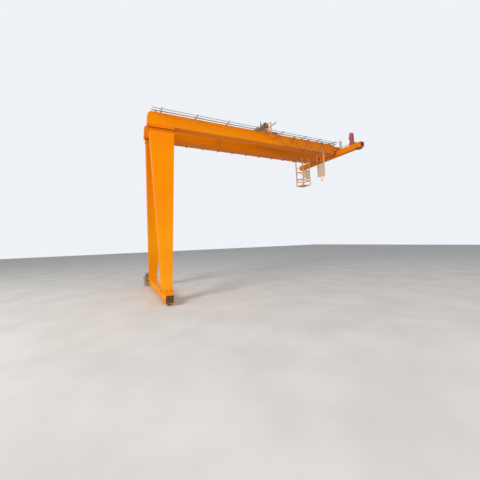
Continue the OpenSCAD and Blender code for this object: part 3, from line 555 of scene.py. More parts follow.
# %% [markdown]
# ## Dressing the solids
# The record names a finish for every node. The girders and the travel wheels have finishes of their own,
# because their wear depends on where they are.

# %% Finishes on the nodes
own_finish = {"near_girder": "girder", "far_girder": "girder", **{name: name for name in wheel_nodes}}
for row in frame["record"]["subparts"]:
    skin = finishes[own_finish.get(row["node"], row["material_slot"])]
    mesh = frame["nodes"][row["node"]].data
    for i in range(len(mesh.materials)):
        mesh.materials[i] = skin
print("dressed", len(frame["nodes"]), "nodes")

# %% [markdown]
# ## Small shapes
# Everything that is added is built from a few kinds of part. The first is a plate: an outline in two
# axes, carried along the third. A box and a plate with round corners are plates too.

# %% Plates
both = (-1, 1)

def slab(outline, axis, start, end):
    """Plate: a flat outline in the other two axes, carried from start to end along one axis."""
    outline = np.asarray(outline, dtype=float)
    rings = np.empty((2, len(outline), 3))
    rings[..., [k for k in range(3) if k != axis]] = outline
    rings[0, :, axis], rings[1, :, axis] = start, end
    return shell(rings)

def block(low, high):
    """Box between two corners."""
    (x0, y0, z0), (x1, y1, z1) = low, high
    return slab([[x0, y0], [x1, y0], [x1, y1], [x0, y1]], 2, z0, z1)

def middle(centre, size):
    """Box about its centre."""
    half = np.asarray(size, dtype=float) / 2
    return block(np.asarray(centre) - half, np.asarray(centre) + half)

def rounded(width, height, radius, steps=4):
    """Rectangle with round corners: c + r (cos a, sin a), and a guard point where each flat begins."""
    quarter = np.linspace(0, np.pi / 2, steps + 1)
    guard = 0.4 * radius
    arc = radius * np.stack([np.cos(quarter), np.sin(quarter)], -1)
    corner = np.concatenate([[[radius, -guard]], arc, [[-guard, radius]]])
    left = np.stack([-corner[:, 1], corner[:, 0]], -1)
    centre = np.array([width / 2 - radius, height / 2 - radius])
    quarters = zip((corner, left, -corner, -left), ((1, 1), (-1, 1), (-1, -1), (1, -1)))
    return np.concatenate([points + centre * sign for points, sign in quarters])

# %% [markdown]
# The second kind is turned about an axis: bars, covers, rubber pads, flat rings and lifting eyes. All of
# them are circles about an axis, so each needs only two directions that are square to it.

# %% Turned parts
def across(axis):
    """An axis at length one, and two directions square to it and to each other."""
    axis = unit(np.asarray(axis, dtype=float))
    side = unit(np.cross(axis, (1.0, 0.0, 0.0) if abs(axis[0]) < 0.9 else (0.0, 1.0, 0.0)))
    return axis, side, np.cross(axis, side)

def lathe(profile, at, axis, sides=24):
    """Turned part: r (cos a, sin a) square to the axis, for each (distance along, radius) of a profile."""
    axis, side, up = across(axis)
    angle = np.linspace(0, 2 * np.pi, sides, endpoint=False)[:, None]
    along, radius = np.asarray(profile, dtype=float).T[:, :, None, None]
    return shell(np.asarray(at) + along * axis + radius * (np.cos(angle) * side + np.sin(angle) * up))

def rod(start, end, radius, sides=12):
    """Round bar between two points, with a small chamfer at each end."""
    start, end = np.asarray(start, dtype=float), np.asarray(end, dtype=float)
    length = float(np.linalg.norm(end - start))
    c = min(0.15 * radius, 0.2 * length)
    profile = [(0, radius - c), (c, radius), (length - c, radius), (length, radius - c)]
    return lathe(profile, start, end - start, sides)

def ring(at, axis, inner, outer, thick, sides=32):
    """Flat ring, as a closed loop of four circles."""
    axis, side, up = across(axis)
    angle = np.linspace(0, 2 * np.pi, sides, endpoint=False)[:, None]
    circle = np.cos(angle) * side + np.sin(angle) * up
    return hoop(np.stack([np.asarray(at) + a * axis + r * circle
                          for a, r in ((0, inner), (0, outer), (thick, outer), (thick, inner))]))

def torus(centre, axis, radius, thick, n=20, m=8):
    """Closed ring of round bar, for lifting eyes and welds round a tube."""
    axis, side, up = across(axis)
    a = np.linspace(0, 2 * np.pi, n, endpoint=False)[:, None, None]
    b = np.linspace(0, 2 * np.pi, m, endpoint=False)[None, :, None]
    out = np.cos(a) * side + np.sin(a) * up
    return hoop(np.asarray(centre) + (radius + thick * np.cos(b)) * out + thick * np.sin(b) * axis)

# %% [markdown]
# A bolt is made once, standing up at the origin. All its copies are then turned and set down in one
# step, by adding every place to every point. A weld bead swells and thins a little along its way.

# %% Copies, bolts and weld beads
def stamp(part, places, axis=None):
    """Copies of a part moved to each place. With an axis, a part made round +Z is turned to it first."""
    verts, blocks = part
    places = np.asarray(places, dtype=float).reshape(-1, 3)
    if axis is not None:
        axis, side, up = across(axis)
        verts = verts @ np.stack([side, up, axis])
    starts = (np.arange(len(places)) * len(verts))[:, None, None]
    faces = [(block[None] + starts).reshape(-1, block.shape[1]) for block in blocks]
    return (verts + places[:, None]).reshape(-1, 3), faces

def bolts(places, axis, size):
    """Hexagon heads on washers, for a thread diameter, standing on the places along the axis."""
    washer = lathe([(0, size), (0.18 * size, size)], (0, 0, 0), (0, 0, 1), 16)
    head = lathe([(0.18 * size, 0.86 * size), (0.74 * size, 0.86 * size), (0.82 * size, 0.74 * size)],
                 (0, 0, 0), (0, 0, 1), 6)
    return stamp(gather([washer, head]), places, axis)

def grid(xs, ys, zs):
    """Every combination of the given x, y and z as a list of places."""
    return np.stack(np.meshgrid(xs, ys, zs, indexing="ij"), -1).reshape(-1, 3)

def round_places(centre, radius, count, axis, turn=0.0):
    """Places on a circle about an axis, for the bolts of a round cover."""
    axis, side, up = across(axis)
    angle = (np.arange(count)[:, None] + turn) * 2 * np.pi / count
    return np.asarray(centre) + radius * (np.cos(angle) * side + np.sin(angle) * up)

def bead(start, end, radius=0.006, step=0.035):
    """Weld bead: r (1 + 0.1 sin(2.1 k) + 0.06 sin(0.73 k + 1.3)) at the steps k along a straight line."""
    start, end = np.asarray(start, dtype=float), np.asarray(end, dtype=float)
    count = max(4, int(np.linalg.norm(end - start) / step))
    t = np.linspace(0, 1, count)
    swell = 1 + 0.1 * np.sin(t * count * 2.1) + 0.06 * np.sin(t * count * 0.73 + 1.3)
    return pipe(start + t[:, None] * (end - start), radius * swell, side=across(end - start)[1], sides=7)

def bolt_steel(name, colour, rubbed):
    """Bolts with a worn finish, paler in patches."""
    f = Finish(name, metallic=0.35)
    worn = f.fade(f.noise(38, 4), 0.45, 0.7)
    f.bump(f.noise(140, 3), 0.0004, 0.5)
    return f.wear(f.mix(worn, colour, rubbed), f.fade(worn, 0, 1, 0.62, 0.42))

finishes["dark_bolts"] = bolt_steel("black_bolt_steel", (0.075, 0.035, 0.022), (0.24, 0.13, 0.075))
finishes["grey_bolts"] = bolt_steel("zinc_bolt_steel", (0.26, 0.235, 0.205), (0.48, 0.45, 0.41))
print("shapes ready, finishes", len(finishes))

# %% [markdown]
# ## The legs
# Each leg is a box welded from four plates. The two wide ones stand a little past the two narrow ones,
# so a step with a weld runs up every corner, and the plates aren't quite flat between the welds.
# The shaft is made as a stack of rings: half widths and centre change evenly from the foot to the head.

# %% Leg shaft
leg_foot_z, leg_head_z = 0.380, 7.975
foot_half, head_half = (0.205, 0.200), (0.600, 0.230)
foot_at, head_at = 2.3, 0.8
plate_step, plate_deep, plate_sag = 0.014, 0.016, 0.0022

def leg_size(t):
    """Half width, half depth, centre and height of the shaft at the share t of its height."""
    foot, head = (*foot_half, foot_at, leg_foot_z), (*head_half, head_at, leg_head_z)
    return [low + (high - low) * t for low, high in zip(foot, head)]

def leg_corner(t, x_sign, y_sign, inset=0.0):
    """Place of a shaft corner at the share t of its height, moved in by an inset along X."""
    half_x, half_y, centre, z = leg_size(t)
    return np.stack([x_sign * (half_x - inset), centre + y_sign * half_y, z], -1)

def leg_shaft():
    """Rings of a stepped box. The wide plates sag by s cos^2(pi u / 2) (0.6 + 0.4 sin(7 pi t))."""
    t, u = np.linspace(0, 1, 25)[:, None], np.linspace(-1, 1, 8)
    half_x, half_y, centre, z = leg_size(t)
    sag = plate_sag * np.cos(u * np.pi / 2) ** 2 * (0.6 + 0.4 * np.sin(7 * np.pi * t))
    far_x, far_y = half_x * u, half_y - sag
    in_x, in_y = half_x - plate_step, half_y - plate_deep
    step_x, step_y = np.hstack([half_x, in_x, in_x, half_x]), np.hstack([in_y, in_y, -in_y, -in_y])
    x = np.hstack([far_x, step_x, far_x[:, ::-1], -step_x[:, ::-1]])
    y = np.hstack([far_y, step_y, -far_y[:, ::-1], step_y[:, ::-1]])
    return shell(np.stack([x, y + centre, np.broadcast_to(z, x.shape)], -1))

# %% [markdown]
# The foot is bolted down between gussets. At the head two plates face each other across a neck, with
# ribs and long bolts between them, and a collar joins the upper plate to the girder.

# %% Leg feet and heads
plate_t, foot_lip = 0.025, 0.255
neck_z, collar_z, collar_top = (8.0, 8.125), 8.15, 8.23
neck_mid, neck_high = sum(neck_z) / 2, neck_z[1] - neck_z[0]
head_plate_half, neck_half, collar_half = (0.625, 0.272), (0.555, 0.205), (0.6, 0.25)

def gusset(at, turn):
    """Upright triangle with cut corners that stands on the foot plate and leans on the shaft."""
    outline = np.array([[-0.05, 0], [0.038, 0], [0.038, 0.024], [0.0, 0.128], [-0.05, 0.128]])
    verts, blocks = slab(outline, 1, -0.006, 0.006)
    c, s = math.cos(turn), math.sin(turn)
    return verts @ np.array([[c, s, 0], [-s, c, 0], [0, 0, 1]]) + np.asarray(at), blocks

def leg_parts():
    """All the orange steel of the far leg."""
    parts = [leg_shaft()]
    for a in both:
        for b in both:
            parts.append(bead(*(leg_corner(t, a, b, 0.012) - [0, b * 0.019, 0] for t in (0, 1)), 0.006))
    for out in (-0.09, 0.09):
        for x, y, turn in ((foot_half[0], out, 0), (-foot_half[0], out, np.pi),
                           (out, foot_half[1], np.pi / 2), (out, -foot_half[1], -np.pi / 2)):
            parts.append(gusset((x, foot_at + y, leg_foot_z), turn))
    foot = rounded(2 * foot_lip, 2 * (foot_lip - 0.005), 0.006, 2) + [0, foot_at]
    parts.append(slab(foot, 2, leg_foot_z - plate_t, leg_foot_z))
    for half, corner, low, high in ((head_plate_half, 0.008, leg_head_z, neck_z[0]),
                                    (head_plate_half, 0.008, neck_z[1], collar_z),
                                    (neck_half, 0.006, *neck_z), (collar_half, 0.006, collar_z, collar_top)):
        parts.append(slab(rounded(2 * half[0], 2 * half[1], corner, 2) + [0, head_at], 2, low, high))
    for z in (leg_head_z, *neck_z, collar_z):
        x, y = neck_half if z in neck_z else collar_half
        for s in both:
            parts.append(bead((-x, head_at + s * y, z), (x, head_at + s * y, z), 0.007))
            parts.append(bead((s * x, head_at - y, z), (s * x, head_at + y, z), 0.007))
    for s in both:
        rib, end = middle((0, 0, 0), (0.012, 0.055, neck_high)), middle((0, 0, 0), (0.06, 0.012, neck_high))
        parts.append(stamp(rib, grid(np.linspace(-0.5, 0.5, 6), [head_at + s * 0.231], [neck_mid])))
        parts.append(stamp(end, grid([s * 0.584], head_at + np.array([-0.1, 0.1]), [neck_mid])))
    return parts

# %% [markdown]
# The bolts of the foot stand in a square round the shaft. At the head, long bolts cross the neck along
# all four sides, with a nut at each plate.

# %% Leg bolts
leg_bolt = 0.02

def leg_bolts():
    """Bolts of the foot plate, and the long bolts between the two head plates."""
    rim, row = foot_lip - 0.024, np.array([-0.16, 0, 0.16])
    foot = np.concatenate([grid([-rim, rim], foot_at + row, [leg_foot_z]),
                           grid(row, foot_at + np.array([-rim, rim]), [leg_foot_z])])
    front = grid([-0.55, *np.linspace(-0.4, 0.4, 5), 0.55], [head_at - 0.245, head_at + 0.245], [neck_z[0]])
    ends = grid([-0.598, 0.598], head_at + np.array([-0.19, 0.0, 0.19]), [neck_z[0]])
    low, neck = np.concatenate([front, ends]), np.array([0, 0, neck_high])
    return [bolts(foot, (0, 0, 1), leg_bolt), bolts(low, (0, 0, 1), leg_bolt),
            bolts(low + neck, (0, 0, -1), leg_bolt), stamp(rod((0, 0, 0), neck, leg_bolt / 2, 8), low)]

# %% [markdown]
# The near leg is the far leg mirrored in the crane's middle. The faces of the neck are picked out by
# the height of their middles and painted darker: grease, and painted shade of the recess under the flange.

# %% The two legs
def mirrored(parts):
    """The same parts on the other side of the crane's middle."""
    return [(verts * [1, -1, 1], blocks) for verts, blocks in parts]

# Painted shade with grease: the neck's faces are a darker orange than the shaft.
finishes["leg_head_grime"] = enamel("grimy_leg_head_enamel", (0.84, 0.215, 0.003), (0.88, 0.24, 0.006),
                                    (0.58, 0.135, 0.006), (0.22, 0.08, 0.03), gloss=0.5, runs=0.9,
                                    shine=crane_shine)
# Painted shade with grime: the leg bolts are a dark orange-brown, darker than the paint round them.
finishes["leg_bolts"] = enamel("painted_over_bolts", (0.42, 0.10, 0.008), (0.46, 0.12, 0.012),
                               (0.30, 0.065, 0.008), (0.10, 0.04, 0.02), gloss=0.55, runs=0.9, shine=0.2)
for name, flip in (("far_leg", lambda parts: parts), ("near_leg", mirrored)):
    leg = piece(name + "_welded", flip(leg_parts()), "root", "crane_orange")
    leg.data.materials.append(finishes["leg_head_grime"])
    middles = np.empty(len(leg.data.polygons) * 3)
    leg.data.polygons.foreach_get("center", middles)
    inside = (middles[2::3] > neck_z[0]) & (middles[2::3] < neck_z[1])
    leg.data.polygons.foreach_set("material_index", inside.astype(np.int32))
    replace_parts(leg, name)
    piece(name + "_bolts", flip(leg_bolts()), "root", "leg_bolts")

# %% [markdown]
# Four small cable clips sit on the near leg's edge on the span's side, low down.

# %% Leg clips
clips = []
for z in (3.0, 2.45, 1.9, 1.35):
    share = (z - leg_foot_z) / (leg_head_z - leg_foot_z)
    edge = leg_corner(share, 1, 1) * [1, -1, 1] + [0.012 - plate_step, 0.06, 0]
    clips += [middle(edge, (0.024, 0.05, 0.03)),
              rod(edge + [0, -0.014, -0.05], edge + [0, -0.014, 0.05], 0.009)]
piece("near_leg_clips", clips, "root", "galvanised")

# %% [markdown]
# ## Girders and rails
# The girders' solids are right as they are, so only what is laid on them is added. Weld beads run where
# the webs meet the flanges, and up the webs where two plates were joined.

# %% Girder welds
girder_ends, girder_y = (-0.69, 11.71), (-0.8, 0.8)
stub_end, stub_z = 12.35, (8.49, 8.79)
web_half, flange_t, end_bevel = 0.25, 0.015, 0.12
thick_weld, thin_weld, long_step, short_step = 0.007, 0.0045, 0.05, 0.02
end_weld, bevel_x = girder_ends[0] + 0.008, girder_ends[0] + end_bevel
low_z, high_z, bevel_z = girder_foot + flange_t, girder_top - flange_t, girder_top - end_bevel
welds = []
for side in girder_y:
    for y in (side - web_half, side + web_half):
        welds += [bead((end_weld, y, low_z), (girder_ends[1], y, low_z), thick_weld, long_step),
                  bead((bevel_x, y, high_z), (girder_ends[1], y, high_z), thick_weld, long_step),
                  bead((end_weld, y, girder_foot + 0.03), (end_weld, y, bevel_z), thin_weld),
                  bead((end_weld, y, bevel_z), (bevel_x, y, girder_top - 0.006), thin_weld)]
        welds += [bead((girder_ends[1], y, z), (stub_end, y, z), thick_weld)
                  for z in (stub_z[0] + flange_t, stub_z[1] - flange_t)]
        welds += [bead((x, y, girder_foot + 0.02), (x, y, girder_top - 0.02), thin_weld, short_step)
                  for x in seam_x]
    welds += [bead((girder_ends[1], side - web_half, z), (girder_ends[1], side + web_half, z), 0.008)
              for z in stub_z]
piece("girder_welds", welds, "root", "girder")

# %% [markdown]
# The crab rails are held down by clips with a bolt each, and end stops stand where the rails end.

# %% Rail clips and end stops
rail_ends, clip_pitch = (-0.42, 11.61), 0.6
clip_places = grid(np.arange(rail_ends[0] + 0.15, rail_ends[1], clip_pitch), girder_y, [girder_top])
clip_outline = np.array([[0.02, 0], [0.09, 0], [0.09, 0.012], [0.045, 0.016], [0.02, 0.024]])
rail_parts = [stamp(slab(clip_outline * [s, 1], 0, -0.03, 0.03), clip_places) for s in both]
piece("rail_clips", rail_parts, "root", "rail_steel")
piece("rail_clip_bolts", [bolts(clip_places + [0, s * 0.066, 0.014], (0, 0, 1), 0.014) for s in both],
      "root", "dark_bolts")

stop_outline = np.array([[0, 0], [0.16, 0], [0.13, 0.165], [0.06, 0.165]])
stop_parts, stop_pads = [], []
for x, turn in ((rail_ends[0] + 0.02, 1), (rail_ends[1] - 0.02, -1)):
    cheek = stop_outline * [turn, 1] + [x, girder_top]
    for y in girder_y:
        stop_parts += [slab(cheek, 1, y + out - 0.01, y + out + 0.01) for out in (-0.08, 0.08)]
        stop_parts.append(middle((x + turn * 0.137, y, girder_top + 0.11), (0.02, 0.2, 0.1)))
        stop_pads.append(lathe([(0, 0.038), (0.04, 0.043), (0.06, 0.036)],
                               (x + turn * 0.147, y, girder_top + 0.115), (turn, 0, 0)))
piece("crab_end_stops", stop_parts, "root", "crane_orange")
piece("crab_end_pads", stop_pads, "root", "buffer_rubber")

# %% [markdown]
# The splice on the far girder is a plate with two fields of bolts and a dark joint between them, and the
# tie between the girders has a bolted flange at each end. All their places lie on even grids.

# %% Splice and tie bolts
splice_y, flange_y, big_bolt = 0.5375, 0.537, 0.018
splice = [bolts(grid([3.45, 3.52, 3.70, 3.77], [splice_y], np.linspace(8.30, 8.82, 8)), (0, -1, 0), big_bolt)]
tie_x = np.linspace(-0.13, 0.13, 4) * 1.45
splice += [bolts(grid(tie_x, [s * flange_y], [8.36, 8.76]), (0, -s, 0), big_bolt) for s in both]
piece("splice_bolts", splice, "root", "dark_bolts")
joint = block((3.602, splice_y - 0.002, 8.27), (3.618, splice_y + 0.004, 8.85))
piece("splice_joint", [joint], "root", "buffer_rubber")
tie_outline = rounded(0.42, 0.46, 0.01, 2) + [0, 8.56]
tie_flanges = [slab(tie_outline, 1, s * (flange_y + 0.012), s * flange_y) for s in both]
tie_flanges += [bead((-0.15, s * 0.536, z), (0.15, s * 0.536, z), 0.006) for s in both for z in (8.38, 8.74)]
piece("tie_flanges", tie_flanges, "root", "crane_orange")

# %% [markdown]
# ## Carriages
# Both carriages are the same box, one low and one high. Its plates stand out a little as lips at the
# top and the bottom. The ends are closed by a bolted plate that carries the buffer. Each wheel turns
# between round bearing caps, except where a gearbox sits over the axle.

# %% Carriage lips, end plates and bearing caps
carriage_half, carriage_top, carriage_end, end_plate_t, end_base_t = 0.16, 0.33, 3.0, 0.012, 0.022
wheel_y, wheel_z, buffer_z, cap_t = 2.7, 0.0675, 0.2244, 0.016

def bearing_plate(at, side, inner, outer, thick, below):
    """As ring, about X, but its lower edge is cut level at a distance below the middle."""
    angle = np.linspace(0, 2 * np.pi, 36, endpoint=False)
    rings = []
    for along, radius in ((0, inner), (0, outer), (thick, outer), (thick, inner)):
        height = np.maximum(radius * np.sin(angle), -below)
        rings.append(np.column_stack([np.full(36, side * along), radius * np.cos(angle), height]))
    return hoop(np.asarray(at) + np.stack(rings))

def carriage_parts(x, z, bare):
    """Lips, end plates, caps and bolts of a carriage at x whose underside is at z."""
    steel, ends, fixings = [], [], []
    past = carriage_end + 0.003
    cap_arc = np.radians([-18, 24, 66, 114, 156, 198])[:, None]
    for s in both:
        lo, hi = sorted((s * 0.145, s * 0.173))
        steel += [block((x + lo, -past, z + low), (x + hi, past, z + high))
                  for low, high in ((carriage_top - 0.013, carriage_top + 0.0015), (-0.0015, 0.012))]
        weld_x = x + s * carriage_half
        steel += [bead((weld_x, -2.98, z + h), (weld_x, 2.98, z + h), 0.006, 0.05) for h in (0.014, 0.314)]
        plate_y, base_y = s * (carriage_end + end_plate_t), s * (carriage_end + end_base_t)
        ends.append(slab(rounded(0.306, 0.3, 0.008, 2) + [x, z + 0.166], 1, s * carriage_end, plate_y))
        ends.append(slab(rounded(0.19, 0.15, 0.012, 3) + [x, z + buffer_z], 1, plate_y, base_y))
        inner = grid([x - 0.08, x + 0.08], [base_y], z + buffer_z + np.array([-0.058, 0.058]))
        outer = grid([x - 0.13, x + 0.13], [plate_y], z + np.array([0.04, 0.295]))
        fixings += [bolts(inner, (0, s, 0), 0.012), bolts(outer, (0, s, 0), 0.013)]
        for w in both:
            if (s, w) == bare:
                continue
            hub = np.array([weld_x, w * wheel_y, z + wheel_z])
            cap = hub + [s * cap_t, 0, 0]
            steel.append(bearing_plate(hub, s, 0.047, 0.118, cap_t, wheel_z - 0.013))
            steel.append(bearing_plate(cap, s, 0.046, 0.088, 0.009, wheel_z - 0.016))
            spots = cap + 0.101 * (np.cos(cap_arc) * [0, 1, 0] + np.sin(cap_arc) * [0, 0, 1])
            fixings.append(bolts(spots, (s, 0, 0), 0.010))
    return steel, ends, fixings

# %% [markdown]
# The end plates are painted dark brown: grease, and painted shade of the faces turned from the light.
# Axles without a cap have a gearbox over them.

# %% The two carriages
# Painted shade with grease: the end plates are a dark brown instead of the orange.
finishes["carriage_end"] = enamel("grimy_end_plate", (0.17, 0.066, 0.022), (0.18, 0.07, 0.025),
                                  (0.10, 0.04, 0.016), (0.06, 0.03, 0.018), gloss=0.6, low=(0.0, 0.4),
                                  runs=0.9, shine=0.25)
for name, x, z, bare in (("ground_carriage", 0.0, 0.0, (-1, 1)), ("runway_carriage", 12.15, 8.16, (1, -1))):
    steel, ends, fixings = carriage_parts(x, z, bare)
    piece(name + "_plates", steel, "root", "crane_orange")
    piece(name + "_ends", ends, "root", "carriage_end")
    piece(name + "_bolts", fixings, "root", "dark_bolts")

# %% [markdown]
# The axle ends turn with their wheels, so each wheel has its own caps. A cap is left out where a gearbox
# covers the axle.

# %% Axle caps
axle_caps = {"ground_wheel_near": (0.0, -wheel_y, 0.0675, both),
             "ground_wheel_far": (0.0, wheel_y, 0.0675, (1,)),
             "runway_wheel_near": (12.15, -wheel_y, 8.2275, (-1,)),
             "runway_wheel_far": (12.15, wheel_y, 8.2275, both)}
for name, (x, y, z, sides) in axle_caps.items():
    caps = []
    for s in sides:
        face = np.array([x + s * 0.17, y, z])
        caps.append(lathe([(0, 0.03), (0.004, 0.031), (0.005, 0.028)], face, (s, 0, 0)))
        caps.append(bolts(round_places(face + [s * 0.005, 0, 0], 0.017, 3, (s, 0, 0)), (s, 0, 0), 0.007))
    piece(name + "_axle_caps", caps, name, "grey_bolts")

# %% [markdown]
# ## Drives
# An electric motor of this kind is a ribbed tube between two end shields. A fan cowl with a round grille
# closes its free end, and a terminal box sits on its side. All three motors here are the same shape at
# other sizes, so one function makes the parts round an axis and sorts them by what they are made of.

# %% Motors
def fin_tube(at, axis, inner, outer, start, end, count=26):
    """Ribbed tube: an outline that steps between two radii, four points to a fin, carried along an axis."""
    axis, side, up = across(axis)
    turn = 2 * np.pi / count
    angle = (np.arange(count)[:, None] * turn + turn * np.array([0.0, 0.34, 0.42, 0.92])).reshape(-1, 1)
    radius = np.tile([outer, outer, inner, inner], count)[:, None]
    circle = radius * (np.cos(angle) * side + np.sin(angle) * up)
    return shell(np.stack([np.asarray(at) + a * axis + circle for a in (start, end)]))

def aimed_box(centre, axis, face, along, wide, deep):
    """Box whose depth runs out along face, and whose length runs along the axis."""
    axis, face = np.abs(axis), np.abs(face)
    return middle(centre, axis * along + face * deep + wide * (1 - axis - face))

def motor(name, node, body, at, axis, length, d, box_face, paint, cowl_paint):
    """Motor of diameter d on its spigot at a place: body, cowl, dark grille and bolts, for its node."""
    at, axis, face = (np.asarray(v, dtype=float) for v in (at, axis, box_face))
    end = length - 0.08

    def turned(profile, sides=32):
        """As lathe, about the motor's axis, with radii as shares of its diameter."""
        return lathe([(along, radius * d) for along, radius in profile], at, axis, sides)

    case = [turned([(0, 0.4), (0.014, 0.4), (0.016, 0.47), (0.032, 0.47), (0.034, 0.44), (0.05, 0.44)]),
            fin_tube(at, axis, 0.425 * d, 0.497 * d, 0.045, end - 0.012),
            turned([(0.04, 0.452), (0.044, 0.478), (0.06, 0.478), (0.064, 0.45)]),
            turned([(end - 0.02, 0.45), (end - 0.017, 0.478), (end - 0.004, 0.478), (end, 0.45)])]
    hood = [turned([(end - 0.002, 0.455), (end + 0.002, 0.465), (length - 0.018, 0.465),
                    (length - 0.006, 0.44), (length - 0.001, 0.4), (length - 0.001, 0.355),
                    (length - 0.008, 0.35)])]
    hood += [ring(at + axis * (length - 0.007), axis, r * d - 0.0045, r * d + 0.0045, 0.004, 28)
             for r in (0.09, 0.155, 0.22, 0.285)]
    grille = at + axis * (length - 0.005)
    hood += [rod(grille, spoke, 0.003, 6) for spoke in round_places(grille, 0.35 * d, 6, axis)]
    lid = at + axis * 0.42 * length + face * (0.5 * d + 0.036)
    case += [aimed_box(lid - face * 0.02, axis, face, 0.34 * length, 0.44 * d, 0.07),
             aimed_box(lid + face * 0.02, axis, face, 0.37 * length, 0.48 * d, 0.014),
             torus(at + axis * 0.5 * length - face * (0.5 * d + 0.012), axis, 0.02, 0.005)]
    wide, gland = np.cross(axis, face), lid - axis * 0.17 * length
    corners = [lid + face * 0.027 + axis * a * 0.155 * length + wide * b * 0.2 * d
               for a in both for b in both]
    steel = [bolts(corners, face, 0.007), rod(gland, gland - axis * 0.035, 0.013, 10),
             bolts(round_places(at + axis * 0.032, 0.455 * d, 6, axis, 0.5), axis, 0.009),
             bolts(round_places(at + axis * (end + 0.03), 0.463 * d, 4, axis, 0.5), face, 0.004)]
    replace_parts(piece(name, case, body, paint), node)
    piece(name + "_cowl", hood, body, cowl_paint)
    back = turned([(length - 0.0085, 0.352), (length - 0.0075, 0.352)], 24)
    piece(name + "_grille_back", [back], body, "buffer_rubber")
    piece(name + "_bolts", steel, body, "dark_bolts")

# %% [markdown]
# Two of the motors stand upright on their gearboxes, one at each carriage, and the third turns the drum.

# %% The three motors
motor("ground_drive_motor", "ground_motor", "root", (-0.296, 2.7, 0.1825), (0, 0, 1), 0.48, 0.22, (-1, 0, 0),
      "motor_blue", "motor_blue")
motor("runway_drive_motor", "runway_motor", "root", (12.15, -2.25, 8.72), (0, 0, 1), 0.65, 0.28, (-1, 0, 0),
      "motor_red", "galvanised")
motor("hoist_drive_motor", "hoist_motor", "crab", (6.7173, 0.555, 9.67), (1, 0, 0), 0.42, 0.24, (0, 0, 1),
      "hoist_grey", "hoist_grey")

# %% [markdown]
# The gearboxes keep their solids. What they lack is the split where two halves of the casting meet, the
# bolts along it, a round cover on the input side and a breather.

# %% Gearbox fittings
def gearbox_fittings(name, low, high, split_z, cover_at, cover_axis, cover_r, body, paint):
    """Flange along the split of a cast case, bolts on it, and a round cover with its ring of bolts."""
    (x0, y0, _), (x1, y1, z1) = low, high
    lip, inset, half_t = 0.012, 0.004, 0.007
    cast = []
    for z in (split_z, split_z + 0.016):
        for xa, ya, xb, yb in ((x0 - lip, y0 - lip, x1 + lip, y0 + inset),
                               (x0 - lip, y1 - inset, x1 + lip, y1 + lip),
                               (x0 - lip, y0 + inset, x0 + inset, y1 - inset)):
            cast.append(block((xa, ya, z - half_t), (xb, yb, z + half_t)))
    cast.append(lathe([(-0.002, cover_r), (0.008, cover_r), (0.011, cover_r - 0.006), (0.011, 0.5 * cover_r),
                       (0.018, 0.45 * cover_r), (0.02, 0.4 * cover_r)], cover_at, cover_axis, 32))
    cover_face = np.asarray(cover_at) + 0.011 * np.asarray(cover_axis)
    spots = grid(np.linspace(x0 + 0.02, x1 - 0.02, 4), [y0 - inset, y1 + inset], [split_z + 0.023])
    steel = [bolts(round_places(cover_face, 0.78 * cover_r, 8, cover_axis), cover_axis, 0.008),
             bolts(spots, (0, 0, 1), 0.0065),
             lathe([(0, 0.009), (0.012, 0.009), (0.014, 0.013), (0.026, 0.011)],
                   (x0 + 0.03, y0 + 0.035, z1), (0, 0, 1), 12)]
    piece(name + "_casting", cast, body, paint)
    piece(name + "_fixings", steel, body, "dark_bolts")

# %% [markdown]
# The low motor also stands on a bell with a round seat. The three gearboxes then differ only in their
# numbers.

# %% The bell and the three gearboxes
bell = [slab(rounded(0.262, 0.222, 0.02, 4) + [2.7, 0.068], 0, -0.428, -0.305),
        torus((-0.366, 2.7, 0.184), (0, 0, 1), 0.1, 0.008, 32, 8)]
piece("ground_drive_bell", bell, "root", "motor_blue")
gearbox_fittings("ground_gearbox", (-0.416, 2.58, -0.0475), (-0.176, 2.82, 0.1825), 0.06,
                 (-0.428, 2.7, 0.0675), (-1, 0, 0), 0.066, "root", "gearbox_yellow")
gearbox_fittings("runway_gearbox", (12.03, -2.37, 8.49), (12.27, -2.13, 8.72), 8.6,
                 (12.03, -2.25, 8.655), (-1, 0, 0), 0.07, "root", "motor_red")
gearbox_fittings("hoist_gearbox", (6.3573, 0.48, 9.44), (6.7173, 0.63, 9.86), 9.66,
                 (6.5373, 0.63, 9.67), (0, 1, 0), 0.11, "crab", "hoist_grey")

# %% [markdown]
# ## The festoon
# Arms over the near girder hold the track and a conduit. Each arm is bolted to the flange, grips the
# track with two cheeks, and has a strap under the conduit. Plates join the track's lengths.

# %% Arms, track and conduit fittings
arm_x = np.array([-0.08, 1.71, 3.5, 5.29, 7.08, 8.87, 10.11, 11.39])
joint_x = np.array([2.6, 6.1, 9.5])
conduit_y, conduit_z, conduit_r = -1.52, 8.873, 0.017
track_z = 8.871
grips, grip_bolts = [], []
for s in both:
    grips.append(stamp(middle((0, s * 0.0245, 0.002), (0.05, 0.009, 0.062)), grid(arm_x, [track_y], [8.888])))
    grip_bolts.append(bolts(grid(arm_x, [track_y + s * 0.029], [8.9]), (0, s, 0), 0.008))
    grips.append(stamp(middle((0, s * 0.0225, 0), (0.16, 0.005, 0.034)), grid(joint_x, [track_y], [track_z])))
    spots = grid((joint_x[:, None] + [-0.055, -0.02, 0.02, 0.055]).ravel(), [track_y + s * 0.025], [track_z])
    grip_bolts.append(bolts(spots, (0, s, 0), 0.006))
grips.append(stamp(middle((0, 0, 0.003), (0.09, 0.12, 0.008)), grid(arm_x, [-1.03], [8.892])))
grip_bolts.append(bolts(grid(arm_x, [-1.06, -1.0], [8.926]), (0, 0, 1), 0.009))
angle = np.linspace(0, -np.pi, 13)
arc = np.stack([np.cos(angle), np.sin(angle)], -1)
